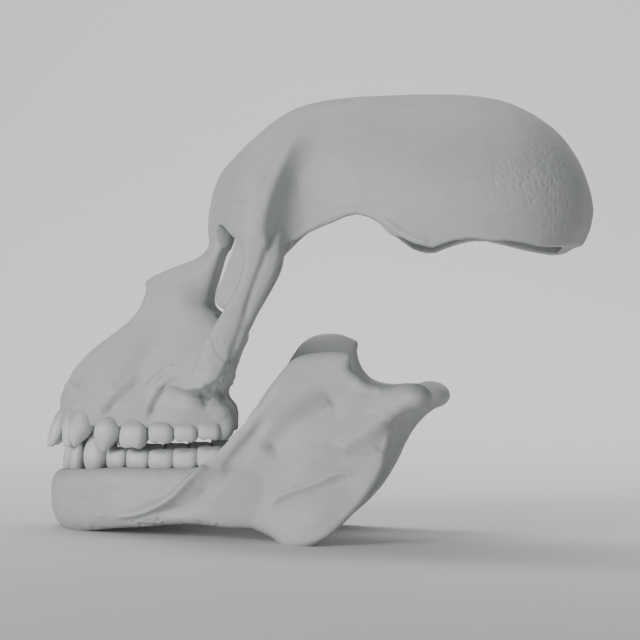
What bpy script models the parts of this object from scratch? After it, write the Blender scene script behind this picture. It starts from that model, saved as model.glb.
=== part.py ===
"""Skull of a fossil ape, life size, in metres: braincase and brow, face with the upper teeth, and lower jaw.

The head faces -X, its near side is -Y and up is +Z. The tables of sizes below are in millimetres.
The jaw rests on its chin and on both of its rear corners, at height zero.
"""

import math

import bmesh
import bpy
import numpy as np
from mathutils import Matrix, Vector

MM = 0.001
NEAR, FAR = -1, 1


# Tools
def smooth_rows(table, at):
    """Rows of the table read at the given values of its first column, on a smooth curve through them."""
    table = np.asarray(table, float)
    key, rows = table[:, 0], table[:, 1:]
    slope = np.gradient(rows, key, axis=0)
    at = np.clip(np.asarray(at, float), key[0], key[-1])
    i = np.clip(np.searchsorted(key, at, side="right") - 1, 0, len(key) - 2)
    gap = (key[i + 1] - key[i])[:, None]
    t = ((at - key[i]) / gap[:, 0])[:, None]
    return (
        (2 * t**3 - 3 * t**2 + 1) * rows[i]
        + (t**3 - 2 * t**2 + t) * gap * slope[i]
        + (3 * t**2 - 2 * t**3) * rows[i + 1]
        + (t**3 - t**2) * gap * slope[i + 1]
    )


def smooth_path(points, count, closed=False):
    """That many points, evenly spaced, on a smooth curve through the given ones."""
    points = np.asarray(points, float)
    if closed:
        points = np.vstack([points[-3:], points, points[:4]])
    step = np.r_[0, np.cumsum(np.linalg.norm(np.diff(points, axis=0), axis=1) ** 0.5)]
    rows = np.c_[step, points]
    if closed:
        fine = np.linspace(step[3], step[-4], count * 8 + 1)
    else:
        fine = np.linspace(0, step[-1], count * 8 + 1)
    curve = smooth_rows(rows, fine)
    run = np.r_[0, np.cumsum(np.linalg.norm(np.diff(curve, axis=0), axis=1))]
    even = np.linspace(0, run[-1], count, endpoint=not closed)
    return np.stack([np.interp(even, run, curve[:, k]) for k in range(curve.shape[1])], 1)


def new_object(name, mesh):
    obj = bpy.data.objects.new(name, mesh)
    bpy.context.scene.collection.objects.link(obj)
    return obj


def loft(name, rings):
    """A closed body through rings of equal length, each a list of points in millimetres, capped at both ends."""
    rings = np.asarray(rings, float) * MM
    count = rings.shape[1]
    bm = bmesh.new()
    loops = [[bm.verts.new(p) for p in ring] for ring in rings]
    for low, high in zip(loops, loops[1:]):
        for k in range(count):
            bm.faces.new((low[k], low[(k + 1) % count], high[(k + 1) % count], high[k]))
    for ring in (loops[0], loops[-1]):
        middle = bm.verts.new(sum((v.co for v in ring), Vector()) / count)
        for k in range(count):
            bm.faces.new((ring[k], ring[(k + 1) % count], middle))
    bmesh.ops.recalc_face_normals(bm, faces=bm.faces)
    mesh = bpy.data.meshes.new(name)
    bm.to_mesh(mesh)
    bm.free()
    return new_object(name, mesh)


def superellipse(count, power):
    """Unit ring: cosines and sines of a rounded square, a circle at power 2."""
    turn = np.linspace(0, 2 * math.pi, count, endpoint=False)
    c, s = np.cos(turn), np.sin(turn)
    return (
        np.sign(c) * np.abs(c) ** (2 / power),
        np.sign(s) * np.abs(s) ** (2 / power),
    )


def ball(name, centre, radii, turn=(0, 0, 0)):
    """An ellipsoid, in millimetres, turned by three angles in degrees."""
    bpy.ops.mesh.primitive_uv_sphere_add(segments=40, ring_count=24, radius=1)
    obj = bpy.context.object
    obj.name = name
    place = Matrix.Translation(Vector(centre) * MM)
    for axis, angle in zip("XYZ", turn):
        place = place @ Matrix.Rotation(math.radians(angle), 4, axis)
    place = place @ Matrix.Diagonal((*(r * MM for r in radii), 1))
    obj.data.transform(place)
    return obj


def box(name, centre, sides, turn=(0, 0, 0)):
    bpy.ops.mesh.primitive_cube_add(size=1)
    obj = bpy.context.object
    obj.name = name
    place = Matrix.Translation(Vector(centre) * MM)
    for axis, angle in zip("XYZ", turn):
        place = place @ Matrix.Rotation(math.radians(angle), 4, axis)
    place = place @ Matrix.Diagonal((*(s * MM for s in sides), 1))
    obj.data.transform(place)
    return obj


def tube(name, points, radii, sides=20, steps=40):
    """A rounded bar along a smooth path, its radius read from a list as it goes."""
    path = smooth_path(np.c_[np.asarray(points, float), np.asarray(radii, float)], steps)
    centre, radius = path[:, :3], path[:, 3]
    along = np.gradient(centre, axis=0)
    along /= np.linalg.norm(along, axis=1)[:, None]
    up = np.array((0.0, 1.0, 0.0)) if abs(along[0][1]) < 0.9 else np.array((0, 0, 1.0))
    rings = []
    c, s = superellipse(sides, 2)
    for p, a, r in zip(centre, along, radius):
        u = up - a * (up @ a)
        u /= np.linalg.norm(u)
        v = np.cross(a, u)
        up = u
        rings.append(p + r * (c[:, None] * u + s[:, None] * v))
    caps = ball(name + "_a", centre[0], (radius[0],) * 3), ball(name + "_b", centre[-1], (radius[-1],) * 3)
    body = loft(name, rings)
    return join(name, [body, *caps])


def join(name, pieces):
    bpy.ops.object.select_all(action="DESELECT")
    for piece in pieces:
        piece.select_set(True)
    bpy.context.view_layer.objects.active = pieces[0]
    bpy.ops.object.join()
    pieces[0].name = name
    return pieces[0]


def settle(obj):
    """Turns the object's modifiers into its mesh."""
    graph = bpy.context.evaluated_depsgraph_get()
    mesh = bpy.data.meshes.new_from_object(obj.evaluated_get(graph))
    old = obj.data
    obj.modifiers.clear()
    obj.data = mesh
    bpy.data.meshes.remove(old)
    return obj


def fuse(name, pieces, grain, passes=0, factor=0.5):
    """Joins overlapping bodies into one skin of even grain, and softens where they meet."""
    body = join(name, pieces)
    remesh = body.modifiers.new("skin", "REMESH")
    remesh.mode = "VOXEL"
    remesh.voxel_size = grain * MM
    remesh.use_smooth_shade = True
    if passes:
        soften = body.modifiers.new("soften", "SMOOTH")
        soften.factor = factor
        soften.iterations = passes
    return settle(body)


def cut(body, cutters):
    """Takes the cutters away from the body, one after the other."""
    for cutter in cutters:
        boolean = body.modifiers.new("cut", "BOOLEAN")
        boolean.operation = "DIFFERENCE"
        boolean.solver = "MANIFOLD"
        boolean.object = cutter
    settle(body)
    for cutter in cutters:
        bpy.data.objects.remove(cutter)
    return body


def points_of(obj):
    co = np.empty(len(obj.data.vertices) * 3, np.float32)
    obj.data.vertices.foreach_get("co", co)
    return co.reshape(-1, 3).astype(float) / MM


def set_points(obj, points):
    obj.data.vertices.foreach_set("co", (points * MM).astype(np.float32).ravel())
    obj.data.update()


def ramp(value, low, high):
    """0 below low, 1 above high, and a smooth rise between."""
    t = np.clip((value - low) / (high - low), 0, 1)
    return t * t * (3 - 2 * t)


# Vault: x, top, level of greatest width, lowest, half width, fullness of the upper half
VAULT = [
    (-38.6, 109.0, 105.0, 100.5, 2.5, 2.0),
    (-38.2, 112.6, 105.0, 98.5, 5.5, 2.0),
    (-37.0, 117.4, 104.5, 97.5, 9.0, 1.9),
    (-35.2, 121.6, 104.0, 96.5, 13.0, 1.75),
    (-32.1, 125.7, 103.5, 96.0, 20.0, 1.6),
    (-28.6, 129.6, 102.6, 96.0, 28.5, 1.5),
    (-25.4, 133.0, 101.6, 94.0, 35.0, 1.44),
    (-21.5, 136.6, 100.5, 80.0, 38.8, 1.44),
    (-17.4, 140.1, 100.0, 72.0, 38.6, 1.55),
    (-13.3, 142.9, 101.0, 70.0, 36.0, 1.75),
    (-8.1, 145.4, 103.0, 72.0, 33.4, 1.92),
    (-1.0, 147.3, 105.0, 78.0, 32.4, 2.05),
    (10.0, 148.9, 107.0, 74.0, 34.8, 2.15),
    (22.0, 149.7, 108.0, 70.0, 38.0, 2.2),
    (34.0, 150.2, 109.0, 68.0, 40.8, 2.25),
    (46.0, 150.3, 109.5, 67.0, 42.0, 2.3),
    (56.0, 149.3, 110.0, 69.0, 41.6, 2.3),
    (65.0, 146.7, 110.5, 72.0, 39.8, 2.3),
    (73.0, 142.5, 111.0, 77.0, 36.4, 2.25),
    (79.0, 137.8, 111.5, 84.0, 32.0, 2.25),
    (83.5, 132.4, 112.0, 93.0, 27.4, 2.2),
    (85.8, 129.0, 112.2, 97.0, 23.8, 2.15),
    (87.8, 124.9, 112.4, 100.5, 18.0, 2.1),
    (89.6, 120.2, 112.6, 104.0, 11.0, 2.05),
    (90.8, 116.2, 112.7, 108.0, 5.0, 2.0),
    (91.3, 113.8, 112.7, 111.2, 2.0, 2.0),
]
# The temporal line on the forehead: height, place along the head
LINE = [(90, -18.6), (95, -18.0), (106.5, -17.2), (116.4, -14.5), (128, -10.1), (135, -7.2), (150, 0)]


def fossa(x, z):
    """How far the temporal hollow sinks into the side of the head."""
    line = np.interp(z, [a for a, _ in LINE], [b for _, b in LINE])
    deep = 5.4 * (1 - ramp(z, 110, 141))
    return deep * ramp(x, line - 1.5, line + 8) * (1 - ramp(x, line + 10, line + 44))


def vault_rings(inset=0.0, count=72, start=-99.0, steps=90):
    table = np.array(VAULT)
    low, high = max(table[0, 0] + inset, start), table[-1, 0] - inset
    # close rings at both rounded ends
    t = np.linspace(0, math.pi, steps)
    xs = (low + high) / 2 - (high - low) / 2 * np.cos(t)
    first, last = max(table[0, 0], start - inset), table[-1, 0]
    share = (xs - (low + high) / 2) / (high - low)
    rows = smooth_rows(table, share * (last - first) + (last + first) / 2)
    turn = np.linspace(0, 2 * math.pi, count, endpoint=False)
    rings = []
    for x, (top, mid, base, wide, power) in zip(xs, rows):
        c, s = np.cos(turn), np.sin(turn)
        p = np.where(s > 0, power, 2.2)
        y = np.sign(c) * np.abs(c) ** (2 / np.maximum(p, 2.0)) * max(wide - inset, 0.4)
        up = max(top - inset - mid, 0.4)
        down = max(mid - base - inset, 0.4)
        z = mid + np.where(s > 0, up, down) * np.sign(s) * np.abs(s) ** (2 / p)
        shift = fossa(x, z) * ramp(np.abs(y), 8, 24)
        y = y - np.sign(y) * shift
        rings.append(np.stack([np.full_like(y, x), y, z], 1))
    return rings


# Lower edge of the vault on each side: place along the head, height
NEAR_EDGE = [
    (-30, 90), (-17, 91), (-11.3, 95.2), (-6.8, 99.6), (-3.4, 101.6), (1.0, 103.7), (4.9, 105.3),
    (8.8, 107.1),
    (12.2, 107.8), (16.2, 106.9), (19.7, 105.0), (21.7, 102.8), (23.8, 100.9), (28.1, 100.3), (31.1, 98.9),
    (34.5, 97.8), (37.0, 97.3), (39.9, 98.4), (43.8, 99.8), (49.2, 100.6), (54.6, 100.1), (62.0, 100.3),
    (67.4, 99.7), (71.3, 99.0), (75.2, 98.9), (80, 99.5), (95, 101),
]
FAR_EDGE = [
    (-30, 90), (-19, 91), (-13.5, 96.5), (-9.5, 100.5), (-6.8, 103.0), (-3.4, 105.4), (1.0, 107.7),
    (8.8, 111.2),
    (12.2, 112.0), (16.2, 111.0), (20.0, 107.6), (23.8, 104.3), (27.2, 102.2), (30.8, 99.3), (35.5, 98.0),
    (38.7, 98.3), (42.0, 100.0), (46.0, 101.6), (51.0, 103.0), (57.1, 103.2), (61.7, 102.2), (67.1, 100.7),
    (72.5, 99.3), (79.6, 97.9), (83.1, 98.3), (87.6, 101.3), (95, 104),
]


def under(name, near, far, floor=40.0, half=60.0):
    """A body that fills all below an edge, the edge crossing from the near side's line to the far side's."""
    xs = np.linspace(near[0][0], near[-1][0], 160)
    n = np.interp(xs, [a for a, _ in near], [b for _, b in near])
    f = np.interp(xs, [a for a, _ in far], [b for _, b in far])
    rings = []
    for x, a, b in zip(xs, n, f):
        rings.append([(x, -half, floor), (x, half, floor), (x, half, b), (x, 8, b), (x, -8, a),
            (x, -half, a)])
    return loft(name, rings)


def vault():
    shell = loft("vault", vault_rings())
    hollow = loft("hollow", vault_rings(inset=4.5, start=-10.0))
    floor = under("under", NEAR_EDGE, FAR_EDGE)
    cut(shell, [hollow, floor])
    return shell


# Face, from above: at each height, eight corners of the half outline, front to back, as x then y
FACE = [
    (35.2, -85.4, 0, -82.4, 10.6, -75.5, 18.0, -60, 23.0, -45, 24.6, -35, 25.0, -27.0, 22.0, -26.4, 0),
    (39.0, -87.2, 0, -83.6, 11.6, -76.5, 19.2, -60, 24.0, -45, 26.0, -35, 26.4, -27.0, 23.5, -26.6, 0),
    (43.0, -88.0, 0, -83.9, 12.0, -76.0, 19.6, -60, 24.4, -45, 26.4, -35.5, 26.8, -28.4, 24.5, -27.8, 0),
    (46.2, -87.2, 0, -83.0, 11.9, -75.0, 19.2, -58.5, 23.8, -46, 26.8, -38, 27.4, -31.0, 24.0, -30.4, 0),
    (48.0, -86.4, 0, -82.2, 11.7, -74.0, 19.0, -57, 23.6, -46, 28.4, -37.4, 31.0, -31.0, 28.0, -30.6, 0),
    (49.6, -85.6, 0, -81.4, 11.5, -73.4, 18.9, -56, 23.4, -45.6, 32.2, -35.6, 38.6, -30.2, 35.6, -30.0, 0),
    (51.4, -84.8, 0, -80.8, 11.3, -72.6, 18.7, -55.4, 23.4, -45.0, 33.8, -34.4, 41.2, -28.6, 38.2, -29.4, 0),
    (56.0, -81.8, 0, -78.3, 10.6, -70.3, 17.8, -54, 23.2, -43.5, 34.5, -33.0, 41.8, -27.4, 38.8, -28.0, 0),
    (62.0, -75.8, 0, -73.2, 10.0, -65.0, 16.4, -51, 21.8, -40.5, 33.0, -32, 41.0, -26.4, 38.5, -26.0, 0),
    (66.0, -70.4, 0, -68.8, 9.8, -61.6, 15.2, -49, 19.8, -39.5, 30.0, -31.5, 39.8, -25.0, 37.6, -24.4, 0),
    (69.4, -66.2, 0, -65.0, 9.6, -58.6, 14.4, -47.6, 18.2, -39.0, 26.0, -32.5, 36.0, -26.4, 34.0, -25.0, 0),
    (72.6, -62.6, 0, -61.8, 9.4, -55.8, 13.6, -46.6, 16.8, -39.2, 20.0, -34.5, 22.0, -31.5, 17.0, -30.0, 0),
    (76.0, -60.4, 0, -59.8, 9.0, -53.6, 12.8, -46, 15.2, -40.2, 15.0, -37.4, 13.4, -35.8, 9.5, -35.2, 0),
    (80.0, -59.0, 0, -58.4, 8.4, -51.6, 11.6, -45, 13.2, -40.5, 12.4, -37.8, 11.0, -36.6, 8.5, -36.2, 0),
    (85.0, -59.3, 0, -56.0, 6.0, -49.0, 9.2, -43.5, 10.6, -39.5, 10.8, -37.0, 10.2, -35.4, 8.0, -35.0, 0),
    (89.0, -51.5, 0, -49.5, 4.6, -45.0, 7.6, -41.5, 9.4, -38.6, 10.2, -36.0, 10.0, -34.4, 7.5, -34.0, 0),
    (93.0, -42.2, 0, -41.6, 3.4, -40.2, 6.0, -38.6, 8.0, -36.8, 9.6, -35.0, 9.8, -33.4, 7.5, -33.0, 0),
    (97.0, -38.8, 0, -38.4, 3.0, -37.6, 5.6, -36.4, 8.0, -35.0, 9.6, -33.2, 9.8, -31.9, 7.5, -31.6, 0),
    (101.0, -37.8, 0, -37.6, 3.0, -36.9, 5.8, -35.9, 8.4, -34.6, 10.0, -33.0, 10.4, -31.3, 8.0, -31.0, 0),
    (107.0, -37.6, 0, -37.4, 3.4, -36.6, 6.4, -35.6, 9.2, -34.4, 11.4, -33.0, 12.6, -30.0, 9.0, -29.6, 0),
]
# The far cheek of this skull sits further forward than the near one
FAR_LAG = 5.0


def outline_rings(table, levels, count=80):
    rows = smooth_rows(table, levels)
    rings = []
    for z, row in zip(levels, rows):
        half = row.reshape(-1, 2)
        whole = np.vstack([half, half[-2:0:-1] * (1, -1)])
        ring = smooth_path(whole, count, closed=True)
        ring[:, 0] -= FAR_LAG * ramp(ring[:, 1], 2, 26) * ramp(ring[:, 0], -62, -38)
        rings.append(np.c_[ring, np.full(count, z)])
    return rings


# Side pillar of the orbit: height, front, back, middle across, half thickness
PILLAR = [
    (52.5, -40.0, -30.0, 37.0, 3.6),
    (57.0, -38.6, -28.0, 37.8, 3.6),
    (61.0, -37.0, -26.8, 38.0, 3.5),
    (65.0, -35.4, -25.6, 38.0, 3.3),
    (70.0, -32.6, -23.8, 37.9, 3.1),
    (74.4, -30.0, -22.6, 37.8, 3.0),
    (78.4, -27.6, -21.4, 37.6, 3.0),
    (82.0, -25.6, -20.4, 37.3, 3.0),
    (86.0, -24.4, -19.2, 37.0, 3.0),
    (91.0, -23.4, -17.4, 36.6, 3.1),
    (96.0, -23.4, -16.0, 36.0, 3.3),
    (101.0, -23.6, -16.2, 34.8, 3.6),
    (110.0, -23.4, -17.0, 30.0, 3.6),
]
FLANGE = [
    (60.0, -34.0, -25.4, 37.4, 2.6),
    (65.0, -32.5, -22.9, 37.4, 2.6),
    (70.0, -30.5, -20.9, 37.4, 2.6),
    (75.0, -28.0, -18.6, 37.3, 2.6),
    (79.6, -26.4, -16.5, 37.1, 2.6),
    (84.8, -24.6, -14.2, 36.8, 2.6),
    (89.4, -23.0, -12.5, 36.3, 2.6),
    (93.6, -22.0, -11.7, 35.4, 2.6),
    (97.0, -18.5, -11.8, 33.2, 2.8),
    (103.0, -18.0, -11.0, 28.0, 3.4),
]
# Wall that turns inwards from the front of the pillar
RIM = [
    (75.2, -29.0, -23.0, 33.6, 0.9),
    (76.2, -31.6, -22.4, 33.4, 1.5),
    (78.0, -33.0, -22.0, 33.0, 1.8),
    (80.4, -33.3, -21.0, 32.8, 1.9),
    (85.2, -31.2, -20.0, 32.8, 1.9),
    (90.0, -29.6, -19.0, 32.6, 1.9),
    (95.0, -28.0, -18.5, 32.2, 2.0),
    (100.0, -26.6, -18.0, 31.6, 2.4),
    (106.0, -25.0, -17.0, 30.0, 3.4),
]
# How far the far pillar stands in front of the near one: height, distance
FAR_STEP = [(52, -5.0), (75, -5.0), (100, -2.7), (112, -2.0)]


def post(name, table, side, shift=None, power=2.4, slant=0.0):
    """An upright bar, its section a rounded box, set on one side of the head."""
    table = np.array(table)
    c, s = superellipse(28, power)
    rings = []
    for z in np.linspace(table[0, 0], table[-1, 0], 40):
        front, back, across, half = smooth_rows(table, [z])[0]
        x = (front + back) / 2 + (back - front) / 2 * c
        y = across + half * s + slant * (x - (front + back) / 2)
        move = np.interp(z, [a for a, _ in shift], [b for _, b in shift]) if shift else 0.0
        rings.append(np.stack([x + move, side * y, np.full_like(x, z)], 1))
    return loft(name, rings)


# End of the bone behind the last upper tooth: its middle and its half sizes
HEEL, HEEL_SIZE, FAR_HEEL_STEP = (-29.6, 22.2, 37.0), (3.6, 3.2, 5.0), -3.0


def face():
    levels = np.linspace(35.4, 106.5, 112)
    pieces = [loft("face", outline_rings(FACE, levels))]
    for side, shift in ((NEAR, None), (FAR, FAR_STEP)):
        along = HEEL[0] + (FAR_HEEL_STEP if side == FAR else 0)
        pieces.append(ball("heel", (along, side * HEEL[1], HEEL[2]), HEEL_SIZE, (0, 8, 0)))
        pieces.append(post("pillar", PILLAR, side, shift, power=3.6, slant=0.06))
        pieces.append(post("flange", FLANGE, side, shift, power=3.0, slant=-0.04))
        pieces.append(post("rim", RIM, side, shift, power=3.0, slant=0.55))
    return pieces


# Orbit, open in front and behind and leaning back towards the side: place along the head, middle across and up,
# half width, half height, fall towards the side
ORBIT = [
    (-44, 30.0, 89.5, 10.5, 13.0, 0.24),
    (-40, 29.0, 89.5, 12.0, 13.0, 0.24),
    (-37, 26.5, 89.0, 13.0, 13.8, 0.24),
    (-33, 18.6, 87.9, 9.6, 15.6, 0.24),
    (-26, 20.0, 88.2, 10.0, 15.0, 0.22),
    (-20, 21.4, 88.4, 10.2, 14.4, 0.18),
    (-14, 22.0, 88.6, 10.4, 13.5, 0.16),
    (2, 18.0, 88.0, 10.0, 12.5, 0.10),
]
# Slit through the bridge between both orbits, seen from the side
SLIT = [
    (-33.6, 104.4), (-30.8, 100.5), (-31.6, 97.0), (-32.7, 91.5), (-33.6, 87.0), (-34.2, 82.0), (-34.1, 78.7),
    (-33.0, 73.9), (-32.4, 72.6), (-29.6, 76.0), (-27.0, 84.0), (-25.0, 92.0), (-26.0, 98.0), (-29.4, 101.6),
]
# Nose: place along the head, half width, foot, top
NOSE_HOLLOW = [
    (-72, 8.2, 64.5, 84.0), (-62, 7.0, 64.8, 82.0), (-56, 6.6, 65.5, 81.0), (-46, 5.4, 68.0, 79.0),
    (-42, 3.2, 71.0, 76.0),
]
# Palate: place along the head, half width, top of its vault
PALATE = [(-80, 3, 37), (-76, 8, 42), (-68, 11.5, 45), (-55, 13.5, 47), (-40, 14.5, 47.5), (-20, 15, 47)]
TEETH_LEVEL = 28.0


def orbit_cutter(side, shift):
    c, s = superellipse(40, 2.7)
    rings = []
    for x, across, up, half, tall, fall in ORBIT:
        y = across + half * c
        z = up + tall * s - fall * (y - across) * ramp(s, -0.4, 0.4)
        rings.append(np.stack([np.full(len(c), x + shift), side * y, z], 1))
    return loft("orbit", rings)


def cranium(grain, passes=6):
    shell = vault()
    pieces = face()
    body = fuse("cranium", [shell, *pieces], grain, passes)
    cutters = [polygon_plate("slit", SLIT, 13.0, 90)]
    for side, shift in ((NEAR, 0.0), (FAR, -2.5)):
        cutters.append(orbit_cutter(side, shift))
    c, s = superellipse(32, 2.3)
    rings = []
    for x, half, low, high in NOSE_HOLLOW:
        up = (low + high) / 2 + (high - low) / 2 * s
        rings.append(np.stack([np.full(len(c), x), half * c * (1 - 0.25 * s), up], 1))
    cutters.append(loft("nose", rings))
    rings = []
    for x, half, high in PALATE:
        rings.append(np.stack([np.full(len(c), x), half * c, TEETH_LEVEL + (high - TEETH_LEVEL) * s], 1))
    cutters.append(loft("palate", rings))
    cut(body, cutters)
    return body


# Mandible
def polygon_plate(name, outline, half, count=160):
    ring = smooth_path(outline, count, closed=True)
    rings = [np.stack([ring[:, 0], np.full(count, y), ring[:, 1]], 1) for y in (-half, half)]
    return loft(name, rings)


def edge_distance(x, z, outline, count=240):
    ring = smooth_path(outline, count, closed=True)
    a, b = ring, np.roll(ring, -1, axis=0)
    best = np.full(len(x), 1e9)
    for (ax, az), (bx, bz) in zip(a, b):
        dx, dz = bx - ax, bz - az
        t = np.clip(((x - ax) * dx + (z - az) * dz) / (dx * dx + dz * dz + 1e-12), 0, 1)
        best = np.minimum(best, np.hypot(x - ax - t * dx, z - az - t * dz))
    return best


RAMUS_NEAR = [
    (-38.6, 20.8), (-34.8, 24.2), (-32.0, 27.4), (-29.2, 30.6), (-25.9, 34.2), (-22.0, 38.8), (-18.9, 43.8),
    (-15.6, 49.2), (-12.5, 53.6), (-9.6, 57.4), (-7.0, 60.0),
    (-2.9, 61.6), (2.5, 62.6), (7.9, 63.0), (12.0, 61.9), (11.6, 58.0), (14.1, 55.6), (18.0, 53.2),
    (23.4, 52.2),
    (28.0, 52.2), (34.4, 52.2), (37.6, 49.6), (36.0, 47.0), (30.6, 45.2), (26.6, 42.6), (26.1, 38.6),
    (25.6, 34.3),
    (24.2, 28.9), (22.2, 23.6),
    (18.2, 16.5), (12.0, 8.9), (5.8, 2.7), (1.6, 0.0), (-2.7, -1.5), (-7.0, -1.5), (-12.4, 2.0),
    (-20.5, 4.8), (-29.3, 5.6),
    (-36.0, 8.0), (-40.0, 15.0),
]
RAMUS_FAR = [
    (-27.6, 24.0), (-23.7, 31.8), (-19.5, 37.5), (-16.5, 44.0), (-14.5, 50.0), (-12.8, 55.9), (-10.5, 60.4),
    (-7.1, 64.9),
    (-3.1, 67.4), (1.6, 68.4), (5.7, 68.3), (9.3, 67.2), (12.6, 65.6), (12.2, 62.5), (13.0, 58.8),
    (14.9, 55.3),
    (18.5, 52.4), (24.0, 51.2), (31.0, 51.6), (38.0, 51.0), (43.0, 49.0), (42.4, 44.4), (38.4, 41.2),
    (35.2, 38.0),
    (32.5, 34.4),
    (29.7, 28.8), (26.3, 22.2), (22.4, 15.2), (17.6, 9.8), (11.0, 4.0), (4.5, 0.4), (-0.5, -1.5),
    (-5.5, -1.5),
    (-10.0, 2.0), (-18.0, 4.8), (-27.0, 5.6), (-34.0, 8.0), (-34.0, 16.0),
]


def ramus(side, outline, shift, grain):
    plate = polygon_plate("ramus", outline, 3.0)
    remesh = plate.modifiers.new("skin", "REMESH")
    remesh.mode = "VOXEL"
    remesh.voxel_size = grain * MM
    settle(plate)
    p = points_of(plate)
    x, y, z = p.T
    near = edge_distance(x, z, outline)
    xs = x - shift
    lean_out = 0.13 * np.clip(30 - z, 0, 40) * ramp(xs, -25, 5)
    lean_in = 0.2 * np.clip(z - 50, 0, 30)
    middle = 31.0 + 0.135 * (xs + 10) + lean_out - lean_in
    thick = 2.7 + 1.5 * ramp(z, 22, 6) + 0.9 * ramp(xs, 8, 22) * ramp(z, 55, 30)
    thick += 0.6 * ramp(-xs, 8, 22) - 1.6 * ramp(-xs, 26, 37)
    round_off = np.sqrt(np.clip(1 - (1 - np.clip(near / 3.2, 0, 1)) ** 2, 0.04, 1))
    y = side * (middle + y / 3.0 * thick * round_off)
    set_points(plate, np.stack([x, y, z], 1))
    if side < 0:
        plate.data.flip_normals()
    return plate


# Body of the jaw: way along the arch, then each section's middle, its foot and its top, its half thickness
ARCH = [
    # x,   y,    foot, top, half, lean
    (-8.0, 31.6, 5.0, 28.0, 1.6, 0.06),
    (-16.0, 31.4, 4.6, 28.0, 3.4, 0.08),
    (-26.0, 30.0, 4.6, 26.0, 5.4, 0.08),
    (-38.0, 27.0, 5.2, 23.5, 6.4, 0.05),
    (-52.0, 23.0, 3.7, 22.5, 6.2, 0.00),
    (-64.5, 18.6, 1.8, 22.1, 6.0, -0.05),
    (-74.4, 13.3, 0.2, 21.0, 6.9, -0.12),
    (-79.6, 6.8, -1.2, 20.4, 8.3, -0.20),
    (-81.0, 0.0, -1.2, 20.2, 8.9, -0.22),
]


def corpus():
    rows = np.array(ARCH)
    mirror = rows[-2::-1].copy()
    mirror[:, 1] *= -1
    whole = np.vstack([rows, mirror])
    path = smooth_path(whole, 110)
    along = np.gradient(path[:, :2], axis=0)
    along /= np.linalg.norm(along, axis=1)[:, None]
    rings = []
    c, s = superellipse(36, 2.7)
    for (x, y, foot, top, half, lean), (ax, ay) in zip(path, along):
        out = np.array((ay, -ax))
        if out @ np.array((x + 30.0, y)) < 0:
            out = -out
        up = (foot + top) / 2 + (top - foot) / 2 * s
        reach = half * c * (1 + 0.12 * -s) - lean * (up - 10)
        rings.append(np.stack([x + reach * out[0], y + reach * out[1], up], 1))
    return loft("corpus", rings)


def mandible(grain, passes=8):
    pieces = [corpus(), ramus(NEAR, RAMUS_NEAR, 0.0, grain), ramus(FAR, RAMUS_FAR, 5.0, grain)]
    pieces.append(ball("condyle", (32.6, -36.0, 48.9), (6.0, 8.2, 4.6), (0, 0, -8)))
    pieces.append(tube("neck", [(10, -32.6, 40), (19, -34.6, 45.2), (30, -37.2, 48.7)], [2.6, 3.8, 4.6]))
    pieces.append(ball("condyle", (38.6, 36.0, 47.6), (7.0, 8.2, 4.9), (0, 0, 8)))
    pieces.append(tube("neck", [(17, 33.0, 40), (26, 34.6, 43.5), (37, 37.2, 47.6)], [2.4, 3.4, 4.6]))
    body = fuse("mandible", pieces, grain, passes)
    return body


# Teeth
# Crown profile: share of the height, share of the breadth
UPPER_CHEEK = [(-0.45, 0.3), (-0.16, 0.52), (-0.05, 0.7), (0.04, 0.86), (0.15, 0.95), (0.3, 1.0), (0.5, 1.0),
               (0.7, 0.955), (0.86, 0.85)]
LOWER_CHEEK = [(-0.45, 0.3), (-0.16, 0.52), (-0.05, 0.7), (0.03, 0.86), (0.13, 0.95), (0.25, 0.99),
    (0.45, 1.0),
               (0.68, 0.99), (0.87, 0.96)]
LEAF = [(-0.05, 0.3), (0.0, 0.52), (0.08, 0.76), (0.2, 0.93), (0.36, 1.0), (0.5, 0.98), (0.64, 0.84),
    (0.78, 0.6),
        (0.9, 0.34), (0.97, 0.16), (1.0, 0.05)]
BLADE = [(-0.1, 0.42), (-0.03, 0.6), (0.05, 0.76), (0.2, 0.92), (0.45, 1.0), (0.75, 0.95), (0.92, 0.78),
    (1.0, 0.5)]


CHEEK_WEAR = 0.17
CUSPS = {-1: 0.4, 1: 0.22}


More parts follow.
